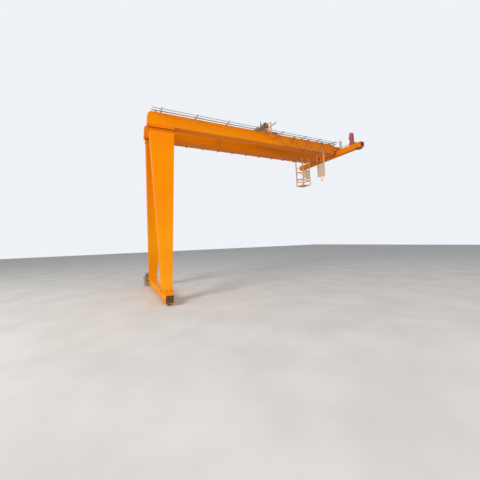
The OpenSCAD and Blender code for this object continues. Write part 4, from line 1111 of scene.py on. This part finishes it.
strap = np.concatenate([[[0.04, 0.017], [0.04, 0.0135]], (conduit_r + 0.0035) * arc + [0, 0.001],
                        [[-0.04, 0.0135], [-0.04, 0.017]], (conduit_r + 0.0005) * arc[::-1] + [0, 0.001]])
grips.append(stamp(slab(strap, 0, -0.012, 0.012), grid(arm_x, [conduit_y], [conduit_z])))
grips += [middle((x, track_y, 8.866), (0.012, 0.056, 0.052)) for x in (-0.534, 11.664)]
sleeve = [(-0.035, 0.0175), (-0.034, 0.0205), (0.034, 0.0205), (0.035, 0.0175)]
grips += [lathe(sleeve, (x, conduit_y, conduit_z), (1, 0, 0), 16) for x in joint_x + 0.5]
piece("festoon_fittings", grips, "root", "galvanised")
piece("festoon_fitting_bolts", grip_bolts, "root", "dark_bolts")

# %% [markdown]
# A carrier is a saddle with cheeks that press the cable down, and a rubber stop at each end so that
# carriers don't knock together. The carriers differ only in their place and their body, so they are made
# in one loop. The end clamp is the same part, but it is bolted to the track and has no stops.

# %% Carriers
half_turn = np.linspace(0, np.pi, 15)
cheek_outline = 0.052 * np.stack([np.cos(half_turn), 0.95 * np.sin(half_turn)], -1)
wheel_outline = rounded(0.03, 0.024, 0.004, 2)
stop_profile = [(0, 0.008), (0.01, 0.01), (0.016, 0.007)]
pin_z, stop_z = saddle_z + 0.022, saddle_z + 0.03
for i, name in enumerate(["lead_carrier", "carrier_1", "carrier_2", "carrier_3", "end_clamp"]):
    x = lead_x + i * loop_pitch
    body, paint = "root" if name == "end_clamp" else name, "galvanised" if i else "carrier_yellow"
    plates = [slab(cheek_outline + [x, saddle_z + 0.002], 1, track_y + s * 0.03, track_y + s * 0.036)
              for s in both]
    plates += [slab(wheel_outline + [x, saddle_z + 0.066], 1, track_y + s * 0.005, track_y + s * 0.0075)
               for s in both]
    pins = [rod((x + d, track_y - 0.042, pin_z), (x + d, track_y + 0.042, pin_z), 0.0045, 8)
            for d in (-0.024, 0.024)]
    pins += [bolts(grid([x - 0.024, x + 0.024], [track_y + s * 0.036], [pin_z]), (0, s, 0), 0.006)
             for s in both]
    piece(name + "_cheeks", plates, body, paint)
    piece(name + "_pins", pins, body, "grey_bolts")
    if name != "end_clamp":
        stops = [lathe(stop_profile, (x + s * 0.05, track_y, stop_z), (s, 0, 0), 14) for s in both]
        piece(name + "_stops", stops, body, "buffer_rubber")

# %% [markdown]
# The tow arm ends in a foot that grips the lead. A tapered rubber sleeve keeps the lead from bending
# sharply where it leaves the foot. The arm's outer end is a pale plate that carries a rope guide.

# %% Tow arm fittings
tow_z, bar_y, plate_y, grip_z = 9.01, -1.64, (-1.664, -1.616), saddle_z + 0.02
taper = [(0, 0.021), (0.006, 0.023), (0.014, 0.021), (0.05, 0.0165), (0.055, 0.0148)]
piece("lead_sleeve", [lathe(taper, (tow_x, track_y, saddle_z), (0, 0, -1), 16)], "crab", "buffer_rubber")
tow_plates = [slab(rounded(0.1, 0.07, 0.008, 2) + [tow_x, -0.88], 2, 9.0, 9.006)]
tow_plates += [middle((tow_x, y, z), size) for y, z, size in (
    (track_y, grip_z, (0.07, 0.07, 0.046)), (bar_y, tow_z, (0.062, 0.062, 0.12)),
    (bar_y, 8.604, (0.08, 0.06, 0.008)), (-0.906, tow_z, (0.12, 0.012, 0.1)))]
for outline in ([[-0.085, 9.25], [-0.085, 9.21], [-0.04, 9.12], [0.045, 9.12], [0.085, 9.21], [0.085, 9.25]],
                [[-0.03, 8.985], [-0.03, 8.9], [0.02, 8.76], [0.085, 8.76], [0.06, 8.985]]):
    tow_plates.append(slab(np.array(outline) + [tow_x, 0], 1, *plate_y))
piece("tow_arm_plates", tow_plates, "crab", "service_orange")
tow_bolts = [bolts(grid([tow_x - 0.045, tow_x + 0.045], [-0.912], [8.975, 9.045]), (0, -1, 0), 0.009),
             bolts(grid([tow_x - 0.02, tow_x + 0.02], [track_y - 0.035], [grip_z]), (0, -1, 0), 0.007),
             bolts(grid([tow_x - 0.031], [bar_y], [8.975, 9.045]), (-1, 0, 0), 0.008)]
piece("tow_arm_bolts", tow_bolts, "crab", "dark_bolts")
tip = [rod((tow_x, -2.216, tow_z), (tow_x, -2.216, 9.06), 0.014, 12),
       torus((tow_x, -2.19, 9.075), (0, 1, 0), 0.022, 0.005, 18, 8),
       middle((tow_x, -1.95, 9.0325), (0.044, 0.5, 0.005)),
       middle((tow_x - 0.0225, -1.95, tow_z), (0.005, 0.5, 0.046))]
piece("tow_arm_tip", tip, "crab", "galvanised")

# %% [markdown]
# ## The crab
# The drum keeps its grooved solid, and the rope is wound on it from both ends towards the middle. Where
# a groove turns by an angle a, the rope has moved along by the pitch times a / 2 pi. It leaves the drum at
# the side, straight down to the hook block, passes under the sheave and comes up on the other side.

# %% Ropes
drum_x, drum_z, drum_pitch = 6.5373, 9.67, 0.034
crab_x, sheave_z, fall_y = 6.35, 9.01, 0.1353
wound_r, turns, rope_r, strand = 0.1805, 6.8, 0.007, 0.0008
laid = dict(sides=18, lobes=6, lobe=strand, lay=0.11)
t = np.linspace(0, 1, 180)
wound = np.pi - 2 * np.pi * turns * t
falling = np.linspace(drum_z, sheave_z, 67)
winding, falls = [], []
for s in both:
    path = np.stack([drum_x + wound_r * np.cos(wound), s * (fall_y + drum_pitch * turns * t),
                     drum_z + wound_r * np.sin(wound)], -1)
    winding.append(pipe(path, rope_r, side=(0, 1, 0), sides=10))
    path = np.stack([np.full(67, crab_x), np.full(67, s * fall_y), falling], -1)
    falls.append(pipe(path, rope_r - strand, side=(0, 1, 0), **laid))
piece("drum_rope", winding, "crab", "rope_steel", smooth_deg=60)
rope_falls = piece("rope_falls", falls, None, "rope_steel", smooth_deg=60)
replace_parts(rope_falls, "hoist_ropes")
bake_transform(rope_falls)
under = np.linspace(0, -np.pi, 49)
bight = np.stack([np.full(49, crab_x), fall_y * np.cos(under), sheave_z + fall_y * np.sin(under)], -1)
piece("sheave_rope", [pipe(bight, rope_r - strand, side=(1, 0, 0), **laid)], "hook_block", "rope_steel",
      smooth_deg=60)

# %% [markdown]
# The photograph shows the drum's near end as a pale ring, so the flange there has a bright worn rim. The
# near pedestal ends in a bearing housing with a cap. The far one is covered by the gearbox.

# %% Drum ends and bearings
drum_ends, drum_fixings = [], []
for s in both:
    drum_ends += [ring((drum_x, s * 0.4402, drum_z), (0, s, 0), 0.188, 0.226, 0.003, 48),
                  ring((drum_x, s * 0.4102, drum_z), (0, -s, 0), 0.19, 0.226, 0.003, 48)]
    clamp_at = (drum_x + 0.187 * math.cos(0.4), s * 0.384, drum_z + 0.187 * math.sin(0.4))
    drum_ends.append(middle(clamp_at, (0.02, 0.034, 0.05)))
    spots = round_places((drum_x, s * 0.4405, drum_z), 0.12, 8, (0, s, 0))
    drum_fixings.append(bolts(spots, (0, s, 0), 0.009))
piece("drum_rims", drum_ends, "crab", "galvanised")
housing = [lathe(profile, (drum_x, y, drum_z), (0, -1, 0), sides) for y, sides, profile in (
    (-0.4398, 36, [(-0.012, 0.078), (-0.008, 0.084), (0.048, 0.084), (0.052, 0.078)]),
    (-0.4918, 32, [(0, 0.072), (0.012, 0.072), (0.016, 0.06), (0.022, 0.045), (0.024, 0.03)]))]
for e in both:
    web = [[drum_x + e * 0.035, 9.6], [drum_x + e * 0.13, 9.115], [drum_x + e * 0.03, 9.115]]
    housing.append(slab(web, 1, -0.481, -0.489))
spots = round_places((drum_x, -0.5038, drum_z), 0.06, 6, (0, -1, 0), 0.5)
drum_fixings.append(bolts(spots, (0, -1, 0), 0.008))
piece("drum_bearing", housing, "crab", "hoist_grey")
piece("drum_bolts", drum_fixings, "crab", "dark_bolts")

# %% [markdown]
# The crab's trucks are plain boxes over the rails. Covers close the axle holes, rubber buffers face the
# end stops, and welds run along the corners.

# %% Trucks and buffers
truck_parts, truck_bolts, truck_pads = [], [], []
truck_x, truck_y, truck_z, axle_z, buffer_at_z = (5.6, 7.1), (0.7, 0.9), (8.945, 9.115), 9.0128, 9.03
axle_cover = [(-0.001, 0.056), (0.008, 0.056), (0.01, 0.052), (0.01, 0.03), (0.014, 0.028)]
for s in both:
    for x in (5.82, 6.88):
        at = np.array([x, s * truck_y[1], axle_z])
        truck_parts.append(lathe(axle_cover, at, (0, s, 0), 28))
        truck_bolts.append(bolts(round_places(at + [0, s * 0.01, 0], 0.041, 6, (0, s, 0)), (0, s, 0), 0.007))
    for x, e in zip(truck_x, both):
        face_x = x + e * 0.01
        truck_parts.append(slab(rounded(0.16, 0.13, 0.01, 2) + [s * 0.8, buffer_at_z], 0, x, face_x))
        truck_pads.append(lathe([(0, 0.03), (0.03, 0.036), (0.045, 0.028)],
                                (face_x, s * 0.8, buffer_at_z), (e, 0, 0), 20))
        spots = grid([face_x], s * 0.8 + np.array([-0.06, 0.06]), [8.985, 9.075])
        truck_bolts.append(bolts(spots, (e, 0, 0), 0.008))
    truck_parts += [bead((truck_x[0], s * y, z), (truck_x[1], s * y, z), 0.005)
                    for y in truck_y for z in truck_z]
    truck_parts += [bead((x, s * truck_y[0], 9.11), (x, s * truck_y[0], 8.97), 0.005, 0.02)
                    for x in (5.8, 5.94, 6.76, 6.9)]
piece("crab_truck_plates", truck_parts, "crab", "crab_maroon")
piece("crab_truck_bolts", truck_bolts, "crab", "dark_bolts")
piece("crab_buffers", truck_pads, "crab", "buffer_rubber")

# %% [markdown]
# A switch with a roller lever sits on the post at the crab's near corner.

# %% Limit switch
switch_x, lever_y = 5.925, -0.883
switch = [slab(rounded(0.06, 0.1, 0.012, 3) + [switch_x, 9.58], 1, -0.87, -0.826),
          slab(rounded(0.05, 0.09, 0.01, 3) + [switch_x, 9.58], 1, -0.876, -0.87),
          middle((switch_x, -0.8, 9.122), (0.11, 0.11, 0.014)),
          rod((switch_x, -0.848, 9.53), (switch_x, -0.848, 9.505), 0.011, 12)]
piece("limit_switch", switch, "crab", "carrier_yellow")
lever = [rod((switch_x, -0.88, 9.6), (switch_x, -0.868, 9.6), 0.014, 14),
         rod((switch_x, lever_y, 9.6), (5.87, lever_y, 9.655), 0.005, 8),
         lathe([(0, 0.012), (0.002, 0.014), (0.01, 0.014), (0.012, 0.012)],
               (5.868, -0.877, 9.657), (0, -1, 0), 16),
         bolts(grid([5.89, 5.96], [-0.835, -0.765], [9.129]), (0, 0, 1), 0.007)]
piece("limit_switch_lever", lever, "crab", "grey_bolts")

# %% [markdown]
# ## The hook
# A forged hook is thickest at the bottom of its bowl and thins towards the tip. It is made as a pipe
# along the hook's centre line, whose radius changes along the way, and it is then pressed flatter across
# the crane. A spring latch closes the mouth, and a nut holds the shank in the crosshead.

# %% Forged hook and latch
hook_z, bowl_r, hook_flat, hook_count = 8.566, 0.0945, 0.68, 72
sweep = np.radians(np.linspace(118, 388, 28))
bowl = np.stack([bowl_r * np.cos(sweep), hook_z + bowl_r * np.sin(sweep)], -1)
line = np.concatenate([[[0, 8.745], [0, 8.722], [-0.003, 8.698], [-0.018, 8.672]], bowl,
                       [bowl[-1] + [-0.004, 0.018]]])
centre_line = smooth_path(np.column_stack([np.full(len(line), crab_x), line]), hook_count)[0]
forge_r = np.interp(np.linspace(0, 1, hook_count), [0, 0.05, 0.16, 0.35, 0.55, 0.72, 0.86, 0.95, 1.0],
                    [0.0215, 0.022, 0.023, 0.030, 0.034, 0.029, 0.021, 0.0135, 0.006])
verts, blocks = pipe(centre_line, forge_r, side=(1, 0, 0), sides=20)
verts = np.column_stack([crab_x + hook_flat * (verts[:, 0] - crab_x), verts[:, 1:]])
shank = rod((crab_x, 0, 8.748), (crab_x, 0, 8.70), 0.0185, 20)
forged_hook = piece("forged_hook", [(verts, blocks), shank], "hook_block", "hook_steel", smooth_deg=60)
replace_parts(forged_hook, "hook")
tip_y, tip_z = centre_line[-6][1:]
latch_outline = [[-0.004, 8.678], [tip_y - 0.012, tip_z + 0.006], [tip_y - 0.006, tip_z - 0.008],
                 [-0.008, 8.658]]
latch = [slab(latch_outline, 0, crab_x + s * 0.0095, crab_x + s * 0.0125) for s in both]
latch += [rod((crab_x - 0.02, -0.004, 8.668), (crab_x + 0.02, -0.004, 8.668), 0.005, 10),
          middle((crab_x, tip_y - 0.014, tip_z), (0.022, 0.004, 0.02))]
piece("hook_latch", latch, "hook_block", "grey_bolts")

# %% [markdown]
# The block's two cheeks are held apart by bolts with nuts outside, and the sheave's pin ends in a keeper
# plate. Dull yellow guards run round the cheeks' edges.

# %% Block fittings
cheek_x, lower_z = 0.055, 8.93
nut = [(0, 0.034), (0.004, 0.038), (0.024, 0.038), (0.028, 0.033)]
keeper = [(0, 0.027), (0.004, 0.027), (0.006, 0.023)]
block_bolts, guards = [lathe(nut, (crab_x, 0, 8.834), (0, 0, 1), 6)], []
cheek_edge = np.array([[0.07, 0.1], [0.11, 0.02], [0.11, -0.06], [0.065, -0.27]])
for s in both:
    bolt_places = grid([crab_x + s * cheek_x], [-0.085, 0.085], [9.075, lower_z])
    block_bolts += [bolts(bolt_places, (s, 0, 0), 0.009),
                    lathe(keeper, (crab_x + s * 0.07, 0, sheave_z), (s, 0, 0), 20),
                    rod((crab_x - 0.034, s * 0.085, lower_z), (crab_x + 0.034, s * 0.085, lower_z),
                        0.007, 10)]
    guards.append(slab(rounded(0.09, 0.03, 0.006, 2) + [0.0, sheave_z - 0.05], 0,
                       crab_x + s * cheek_x, crab_x + s * (cheek_x + 0.006)))
    for f in both:
        edge = np.column_stack([np.full(4, crab_x + s * 0.056), f * cheek_edge[:, 0],
                                sheave_z + cheek_edge[:, 1]])
        guards += [bead(start, end, 0.0045, 0.02) for start, end in zip(edge, edge[1:])]
piece("block_fittings", block_bolts, "hook_block", "grey_bolts")
piece("block_guards", guards, "hook_block", "gearbox_yellow")

# %% [markdown]
# ## Ladder, cage and collector frame
# These frames are of welded square tube, so what they lack is the weld at each joint, the end plates
# under the girders and the bolts that hold them there. The sheets are held by clips.

# %% Frame plates, welds and clips
ladder_x, cage_x, collector_x, frame_y, collector_y = 10.1, 10.74, 10.65, (0.45, 1.15), (-1.105, -0.495)
plate_z, under_z, tube_weld, tube_step = 8.224, 8.218, 0.0045, 0.01
tube_sides = ((-1, -1, 1, -1), (-1, 1, 1, 1), (-1, -1, -1, 1), (1, -1, 1, 1))
frame_parts, frame_bolts, steel = [], [], []

def end_plate(x, y, long, bolt_x):
    """Plate at the top of a post, whose four bolts go to the list of frame bolts."""
    spots = grid([x - bolt_x, x + bolt_x], [y - 0.045, y + 0.045], [under_z])
    frame_bolts.append(bolts(spots, (0, 0, -1), 0.01))
    return middle((x, y, plate_z), (long, 0.13, 0.012))

for y, inward in zip(frame_y, (1, -1)):
    frame_parts += [torus((ladder_x, y + inward * 0.026, z), (0, 1, 0), 0.021, tube_weld, 16, 6)
                    for z in (6.265, 6.705, 7.145, 7.585)]
    corner = [[ladder_x - 0.07, under_z], [ladder_x - 0.025, under_z], [ladder_x - 0.025, 8.12]]
    frame_parts += [end_plate(ladder_x, y, 0.16, 0.055), slab(corner, 1, y - 0.004, y + 0.004)]
    frame_parts.append(end_plate(cage_x, y, 0.13, 0.045))
    for x in (10.1255, 10.7145):
        for z in (6.60, 6.80, 7.35):
            frame_parts += [bead((x, y + a * 0.02, z + b * 0.0205), (x, y + c * 0.02, z + d * 0.0205),
                                 tube_weld, tube_step) for a, b, c, d in tube_sides]
piece("ladder_cage_plates", frame_parts, "root", "service_orange")

for y in collector_y:
    steel.append(end_plate(collector_x, y, 0.15, 0.055))
    for s in both:
        corner = [[y + s * 0.025, under_z], [y + s * 0.06, under_z], [y + s * 0.025, 8.1]]
        steel.append(slab(corner, 0, collector_x - 0.004, collector_x + 0.004))
        steel += [bead((collector_x - 0.026, y + s * 0.0245, z), (collector_x + 0.026, y + s * 0.0245, z),
                       tube_weld, tube_step) for z in (6.632, 6.678, 7.612, 7.658)]
piece("collector_frame_plates", steel, "root", "service_orange")
frame_bolts += [bolts(grid([collector_x - 0.02], [-1.06, -0.54], [6.78, 7.05, 7.3, 7.52]), (-1, 0, 0), 0.007),
                bolts(grid([10.16, 10.68], [0.447], [6.88, 7.08, 7.28]), (0, -1, 0), 0.006)]
piece("frame_bolts", frame_bolts, "root", "dark_bolts")

# %% [markdown]
# Under the collector frame's upper crossbar runs a row of insulators, each a stack of sheds between two
# dark bars.

# %% Insulators
shed = lathe([(0, 0.012), (0.008, 0.012), (0.012, 0.024), (0.018, 0.012), (0.026, 0.012), (0.03, 0.024),
              (0.036, 0.012), (0.05, 0.012)], (0, 0, 0), (0, 0, -1), 16)
row = grid([collector_x - 0.055], np.linspace(-1.05, -0.55, 6), [7.6])
insulators = [stamp(shed, row), middle((collector_x - 0.04, -0.8, 7.606), (0.06, 0.6, 0.012)),
              middle((collector_x - 0.055, -0.8, 7.543), (0.02, 0.56, 0.014))]
piece("collector_insulators", insulators, "root", "buffer_rubber")

# %% [markdown]
# ## Walkway and railing
# The deck is raised-pattern plate: short bars in rows, each row turned the other way.

# %% Tread pattern
walk_x, walk_y, deck_z = (-0.2, 11.58), (1.11, 1.66), 8.366
tread_pitch = 0.055
tread_xs = np.arange(walk_x[0] + 0.05, walk_x[1], tread_pitch)
tread_ys = np.arange(walk_y[0] + 0.03, walk_y[1], tread_pitch)
spots = grid(tread_xs, tread_ys, [deck_z])
row_sum = np.round((spots[:, :2] - [tread_xs[0], tread_ys[0]]) / tread_pitch).sum(axis=1)
bar = np.array([[-0.016, -0.0015], [-0.008, -0.004], [0.008, -0.004], [0.016, 0.0015], [0.008, 0.004],
                [-0.008, 0.004]])
turned_bars = []
for way in (1, -1):
    c, s = math.cos(way * math.pi / 4), math.sin(way * math.pi / 4)
    turned_bar = slab(bar @ np.array([[c, s], [-s, c]]), 2, -0.0005, 0.0022)
    turned_bars.append(stamp(turned_bar, spots[row_sum % 2 == (way > 0)]))
piece("walkway_tread", turned_bars, "root", "service_orange")

# %% [markdown]
# The deck's brackets are welded to the web. Each railing post stands on a small foot plate with two
# bolts and ends in a cap.

# %% Brackets and posts
bracket_x = np.arange(-0.2, 11.6, 1.05)
bracket_parts = [stamp(middle((0, 0.004, 0), (0.09, 0.008, 0.11)), grid(bracket_x, [1.05], [8.31]))]
bracket_parts += [bead((x, 1.06, 8.358), (x, 1.66, 8.358), 0.004, 0.03) for x in bracket_x]
piece("walkway_bracket_welds", bracket_parts, "root", "crane_orange")
post_spots = np.concatenate([grid(bracket_x, [1.66], [deck_z]), grid(bracket_x[:1], (1.11, 1.582), [deck_z])])
collar_r = 0.0205
collar = lathe([(-0.012, collar_r - 0.0012), (-0.008, collar_r + 0.001), (0.008, collar_r + 0.001),
                (0.012, collar_r - 0.0012)], (0, 0, 0), (0, 0, 1), 16)
foot_plate = [slab(rounded(0.09, 0.07, 0.008, 2), 2, 0, 0.008),
              lathe([(0.008, 0.026), (0.012, 0.0235), (0.016, 0.0195)], (0, 0, 0), (0, 0, 1), 16)]
collars = [stamp(gather(foot_plate), post_spots)]
collars += [stamp(collar, post_spots + [0, 0, z - 0.018]) for z in (0.525, 1.03)]
piece("railing_feet", collars, "root", "crane_orange")
piece("railing_bolts", [bolts(post_spots + [s * 0.033, 0, 0.008], (0, 0, 1), 0.008) for s in both], "root",
      "dark_bolts")

# %% [markdown]
# The upright on the runway carriage is wider in the photograph than its pipe alone. It is a pale channel
# that covers the pipe, open at the back and held by two clips.

# %% Cable riser
riser_x, riser_y, clip_z = 12.15, -1.3021, (8.7, 9.02)
half_channel = np.array([[0.06, 0.05], [0.06, -0.042], [0.052, -0.05]])
half_inside = np.array([[0.056, 0.05], [0.056, -0.041], [0.051, -0.046]])
flip_x = [-1, 1]
channel = np.concatenate([half_channel * flip_x, half_channel[::-1], half_inside, half_inside[::-1] * flip_x])
riser = [slab(channel + [riser_x, riser_y], 2, 8.56, 9.15)]
riser += [middle((riser_x, riser_y + 0.034, z), (0.112, 0.006, 0.03)) for z in clip_z]
piece("cable_riser_cover", riser, "root", "pale_sheet")
riser_bolts = [bolts(grid([riser_x + s * 0.06], [riser_y], clip_z), (s, 0, 0), 0.007) for s in both]
piece("cable_riser_bolts", riser_bolts, "root", "grey_bolts")

# %% [markdown]
# ## Floor, backdrop and light
# The crane is shown over a plain pale floor that fills the picture to its horizon.

# %% Floor
floor_z = cad_box[0][2] - 0.002
floor_half, floor_middle = 60.0, (6, 0)
floor_mesh = bpy.data.meshes.new("floor")
corner = np.array([[-1, -1], [1, -1], [1, 1], [-1, 1]]) * floor_half + np.array(floor_middle)
floor_mesh.from_pydata([(x, y, floor_z) for x, y in corner.tolist()], [], [(0, 1, 2, 3)])
floor = bpy.data.objects.new("floor", floor_mesh)
bpy.context.collection.objects.link(floor)
pale = Finish("pale_floor", roughness=0.95)
pale.surface.inputs["Specular IOR Level"].default_value = 0.05
cloud = pale.fade(pale.noise(0.6, 5), 0.3, 0.7)
floor_mesh.materials.append(pale.wear(pale.mix(cloud, (0.76, 0.745, 0.72), (0.84, 0.825, 0.80))))
print("floor at", round(floor_z, 4))

# %% [markdown]
# The light is soft and comes from high on the left, as in the photograph. A wide area lamp gives soft
# shadows, a weaker one in front keeps the near faces clear, and the world fills in the rest. The white
# behind the crane comes only from what the camera and reflections see, so it adds no light to the paint.

# %% World and lamps
world_fill, world_seen = 0.42, 1.0

def seen_directly(tree):
    """1 for rays from the camera, off a gloss or through glass."""
    path = tree.nodes.new("ShaderNodeLightPath")
    total = path.outputs["Is Camera Ray"]
    for name in ("Is Glossy Ray", "Is Transmission Ray"):
        add = tree.nodes.new("ShaderNodeMath")
        add.operation = "ADD"
        add.use_clamp = True
        tree.links.new(total, add.inputs[0])
        tree.links.new(path.outputs[name], add.inputs[1])
        total = add.outputs[0]
    return total

world = bpy.data.worlds.new("pale_studio")
world.use_nodes = True
bpy.context.scene.world = world
sky = world.node_tree
background = sky.nodes["Background"]
background.inputs["Color"].default_value = (0.86, 0.89, 0.93, 1)
strength = sky.nodes.new("ShaderNodeMapRange")
sky.links.new(seen_directly(sky), strength.inputs["Value"])
strength.inputs["To Min"].default_value = world_fill
strength.inputs["To Max"].default_value = world_seen
sky.links.new(strength.outputs[0], background.inputs["Strength"])

def lamp(name, at, aim, size, watts, colour):
    """Square area lamp at a place, its -Z axis turned to the point it lights."""
    data = bpy.data.lights.new(name, "AREA")
    data.size = size
    data.energy = watts
    data.color = colour
    made = bpy.data.objects.new(name, data)
    bpy.context.collection.objects.link(made)
    back = unit(np.array(at, dtype=float) - np.array(aim, dtype=float))
    sideways = unit(np.cross((0.0, 0.0, 1.0), back))
    turned = np.eye(4)
    turned[:3, 0], turned[:3, 1], turned[:3, 2], turned[:3, 3] = sideways, np.cross(back, sideways), back, at
    made.matrix_world = Matrix(turned.tolist())
    made.visible_camera = False

lamp("high_left_light", (-24, -12, 17), (4, 0, 6), 12, 6300, (1.0, 0.97, 0.93))
lamp("front_fill", (10, -28, 9), (6, 0, 6), 16, 2450, (1.0, 0.96, 0.92))
bpy.context.scene.view_settings.view_transform = "Standard"
print("lamps", len(bpy.data.lights))
